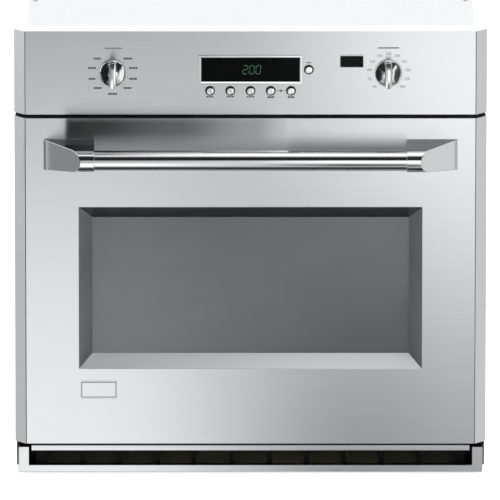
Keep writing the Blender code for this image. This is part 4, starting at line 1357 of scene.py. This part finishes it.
lamp = {
    "ribs": 20, "rib": 0.7, "rim": 2.5,
    # forward of the wall, and the share of the radius
    "dome": ((0, 1.0), (2, 1.0), (6, 0.985), (9, 0.93), (12, 0.82), (14.5, 0.64), (16, 0.4), (16.8, 0.12)),
    # forward of the wall, and out from the dome
    "ring": ((0, 0.3), (2.6, 0.3), (3, 0.8), (2.6, 2.0), (0, 2.4)),
}


def makeLamp():
    low, high, x, z = centred("lamp_lens")
    wide = (high.x - low.x) / 2 - lamp["rim"]
    steps = lamp["ribs"] * 6
    sections = []
    for deep, share in lamp["dome"]:
        outline = []
        for n in range(steps):
            angle = 2 * math.pi * n / steps
            radius = wide * share - lamp["rib"] * share * (1 - math.cos(angle * lamp["ribs"])) / 2
            outline.append((x + radius * math.cos(angle), z + radius * math.sin(angle)))
        sections.append((high.y - deep, outline))
    build("lampDome", loft("y", sections), "chassis", "window_glass", "lamp_lens", material=clearGlass)
    profile = [(high.y - deep, wide + out) for deep, out in lamp["ring"]]
    build("lampRing", turned("y", (x, z), profile, 60, ring=True), "chassis", "plated_wire")


makeLamp()


# the probe: a thin sheathed rod in a flanged boss

probe = {
    "tip": ((0.2, 1.2), (0.8, 2.3), (2, 2.8)),  # back from its end, and radius
    "boss": ((22, 2.8), (21, 4.4), (8, 4.4), (7, 6.5), (3, 6.5), (2.4, 10.6), (0, 10.8)),  # off the wall
}


def makeProbe():
    low, high, x, z = centred("temperature_probe")
    profile = [(low.y + back, r) for back, r in probe["tip"]]
    profile += [(high.y - off, r) for off, r in probe["boss"]]
    rod = turned("y", (x, z), profile, 32)
    build("ovenProbe", rod, "chassis", "polished_stainless", "temperature_probe")


makeProbe()


# the door seal: a braided rope round the mouth of the cavity

seal = {"strands": 560, "corner": 18, "slant": 1.2, "inset": 5.4, "strand": 0.98, "core": 0.8}


def makeSeal():
    low, high = span("door_gasket")
    radius = (high.y - low.y) / 2
    rope = finishes["woven_seal"]
    route = loop("y", (low.y + high.y) / 2, low, high, seal["inset"], seal["corner"])
    values = {"Strands": seal["strands"], "Radius": radius * seal["strand"] * mm, "Slant": seal["slant"]}
    parts = [
        tube("core", route, radius * seal["core"], rope, closed=True),
        grow("strands", braidTree, values, rope, route, closed=True),
    ]
    fit(joined("doorSealRope", parts, rope), "chassis", "woven_seal", "door_gasket")


makeSeal()
print("elements, lamp, probe and seal are in")


# louvre fins behind the slots of the rear panel, pressed inwards

fin = {
    "half": 20, "rows": (625, 645, 665, 685),
    "section": ((0, 2.4), (-0.8, 2.4), (-5.0, -2.0), (-4.2, -2.4)),
}


def makeLouvres():
    low = span("rear_panel")[0]
    sections = [(x, fin["section"]) for x in (-fin["half"], fin["half"])]
    shape = store("fin", loft("x", sections), zinc)
    shape.hide_render = True
    points = [(x, low.y - 0.1, z) for x in range(-300, 301, 60) for z in fin["rows"]]
    values = {"Shape": shape, "Facing": (0, 0, 0), "Spin": 0.0}
    piece = grow("rearLouvreFins", copiesTree, values, zinc, points)
    bpy.data.objects.remove(shape)
    fit(piece, "chassis", "galvanised_sheet")


makeLouvres()


# pressed beads that stiffen the sides

bead = {
    "half": 205, "wide": 9, "heights": (180, 360, 540),
    # out from the side, how far inside the edge, and how much tighter the corner
    "steps": ((-0.2, 0, 0.01), (0.5, 1.4, 1.5), (1.1, 3, 3.1), (1.4, 5, 5.1)),
}


def makeBeads():
    middle = (caseLow.y + rearHigh.y) / 2
    for side, name, x in ((-1, "sideBeadsLeft", caseLow.x), (1, "sideBeadsRight", caseHigh.x)):
        bm = bmesh.new()
        for z in bead["heights"]:
            steps = [(x + side * out, inset, bead["wide"] - corner) for out, inset, corner in bead["steps"]]
            stack("x", middle, z, bead["half"], bead["wide"], steps, bm, curve=8)
        build(name, bm, "chassis", "galvanised_sheet")


makeBeads()


# the locknut that holds the conduit gland on the top

locknut = {"tip": 22, "root": 19.5, "bore": 14.4, "tall": 3.2, "up": 4.3}


def makeLocknut():
    low, high = span("junction_box")
    x, y = (low.x + high.x) / 2, (low.y + high.y) / 2
    z = topHigh.z + locknut["up"]
    teeth = [(locknut["tip" if n % 4 < 2 else "root"], 2 * math.pi * n / 32) for n in range(32)]
    outline = [(x + r * math.cos(a), y + r * math.sin(a)) for r, a in teeth]
    bore, top = circle(x, y, locknut["bore"], 32), z + locknut["tall"]
    ring = loft("z", [(z, outline), (top, outline), (top, bore), (z, bore)], ring=True)
    build("glandLocknut", ring, "chassis", "galvanised_sheet", angle=20)


makeLocknut()
bpy.data.objects.remove(headShape)
print("the back and sides are dressed")
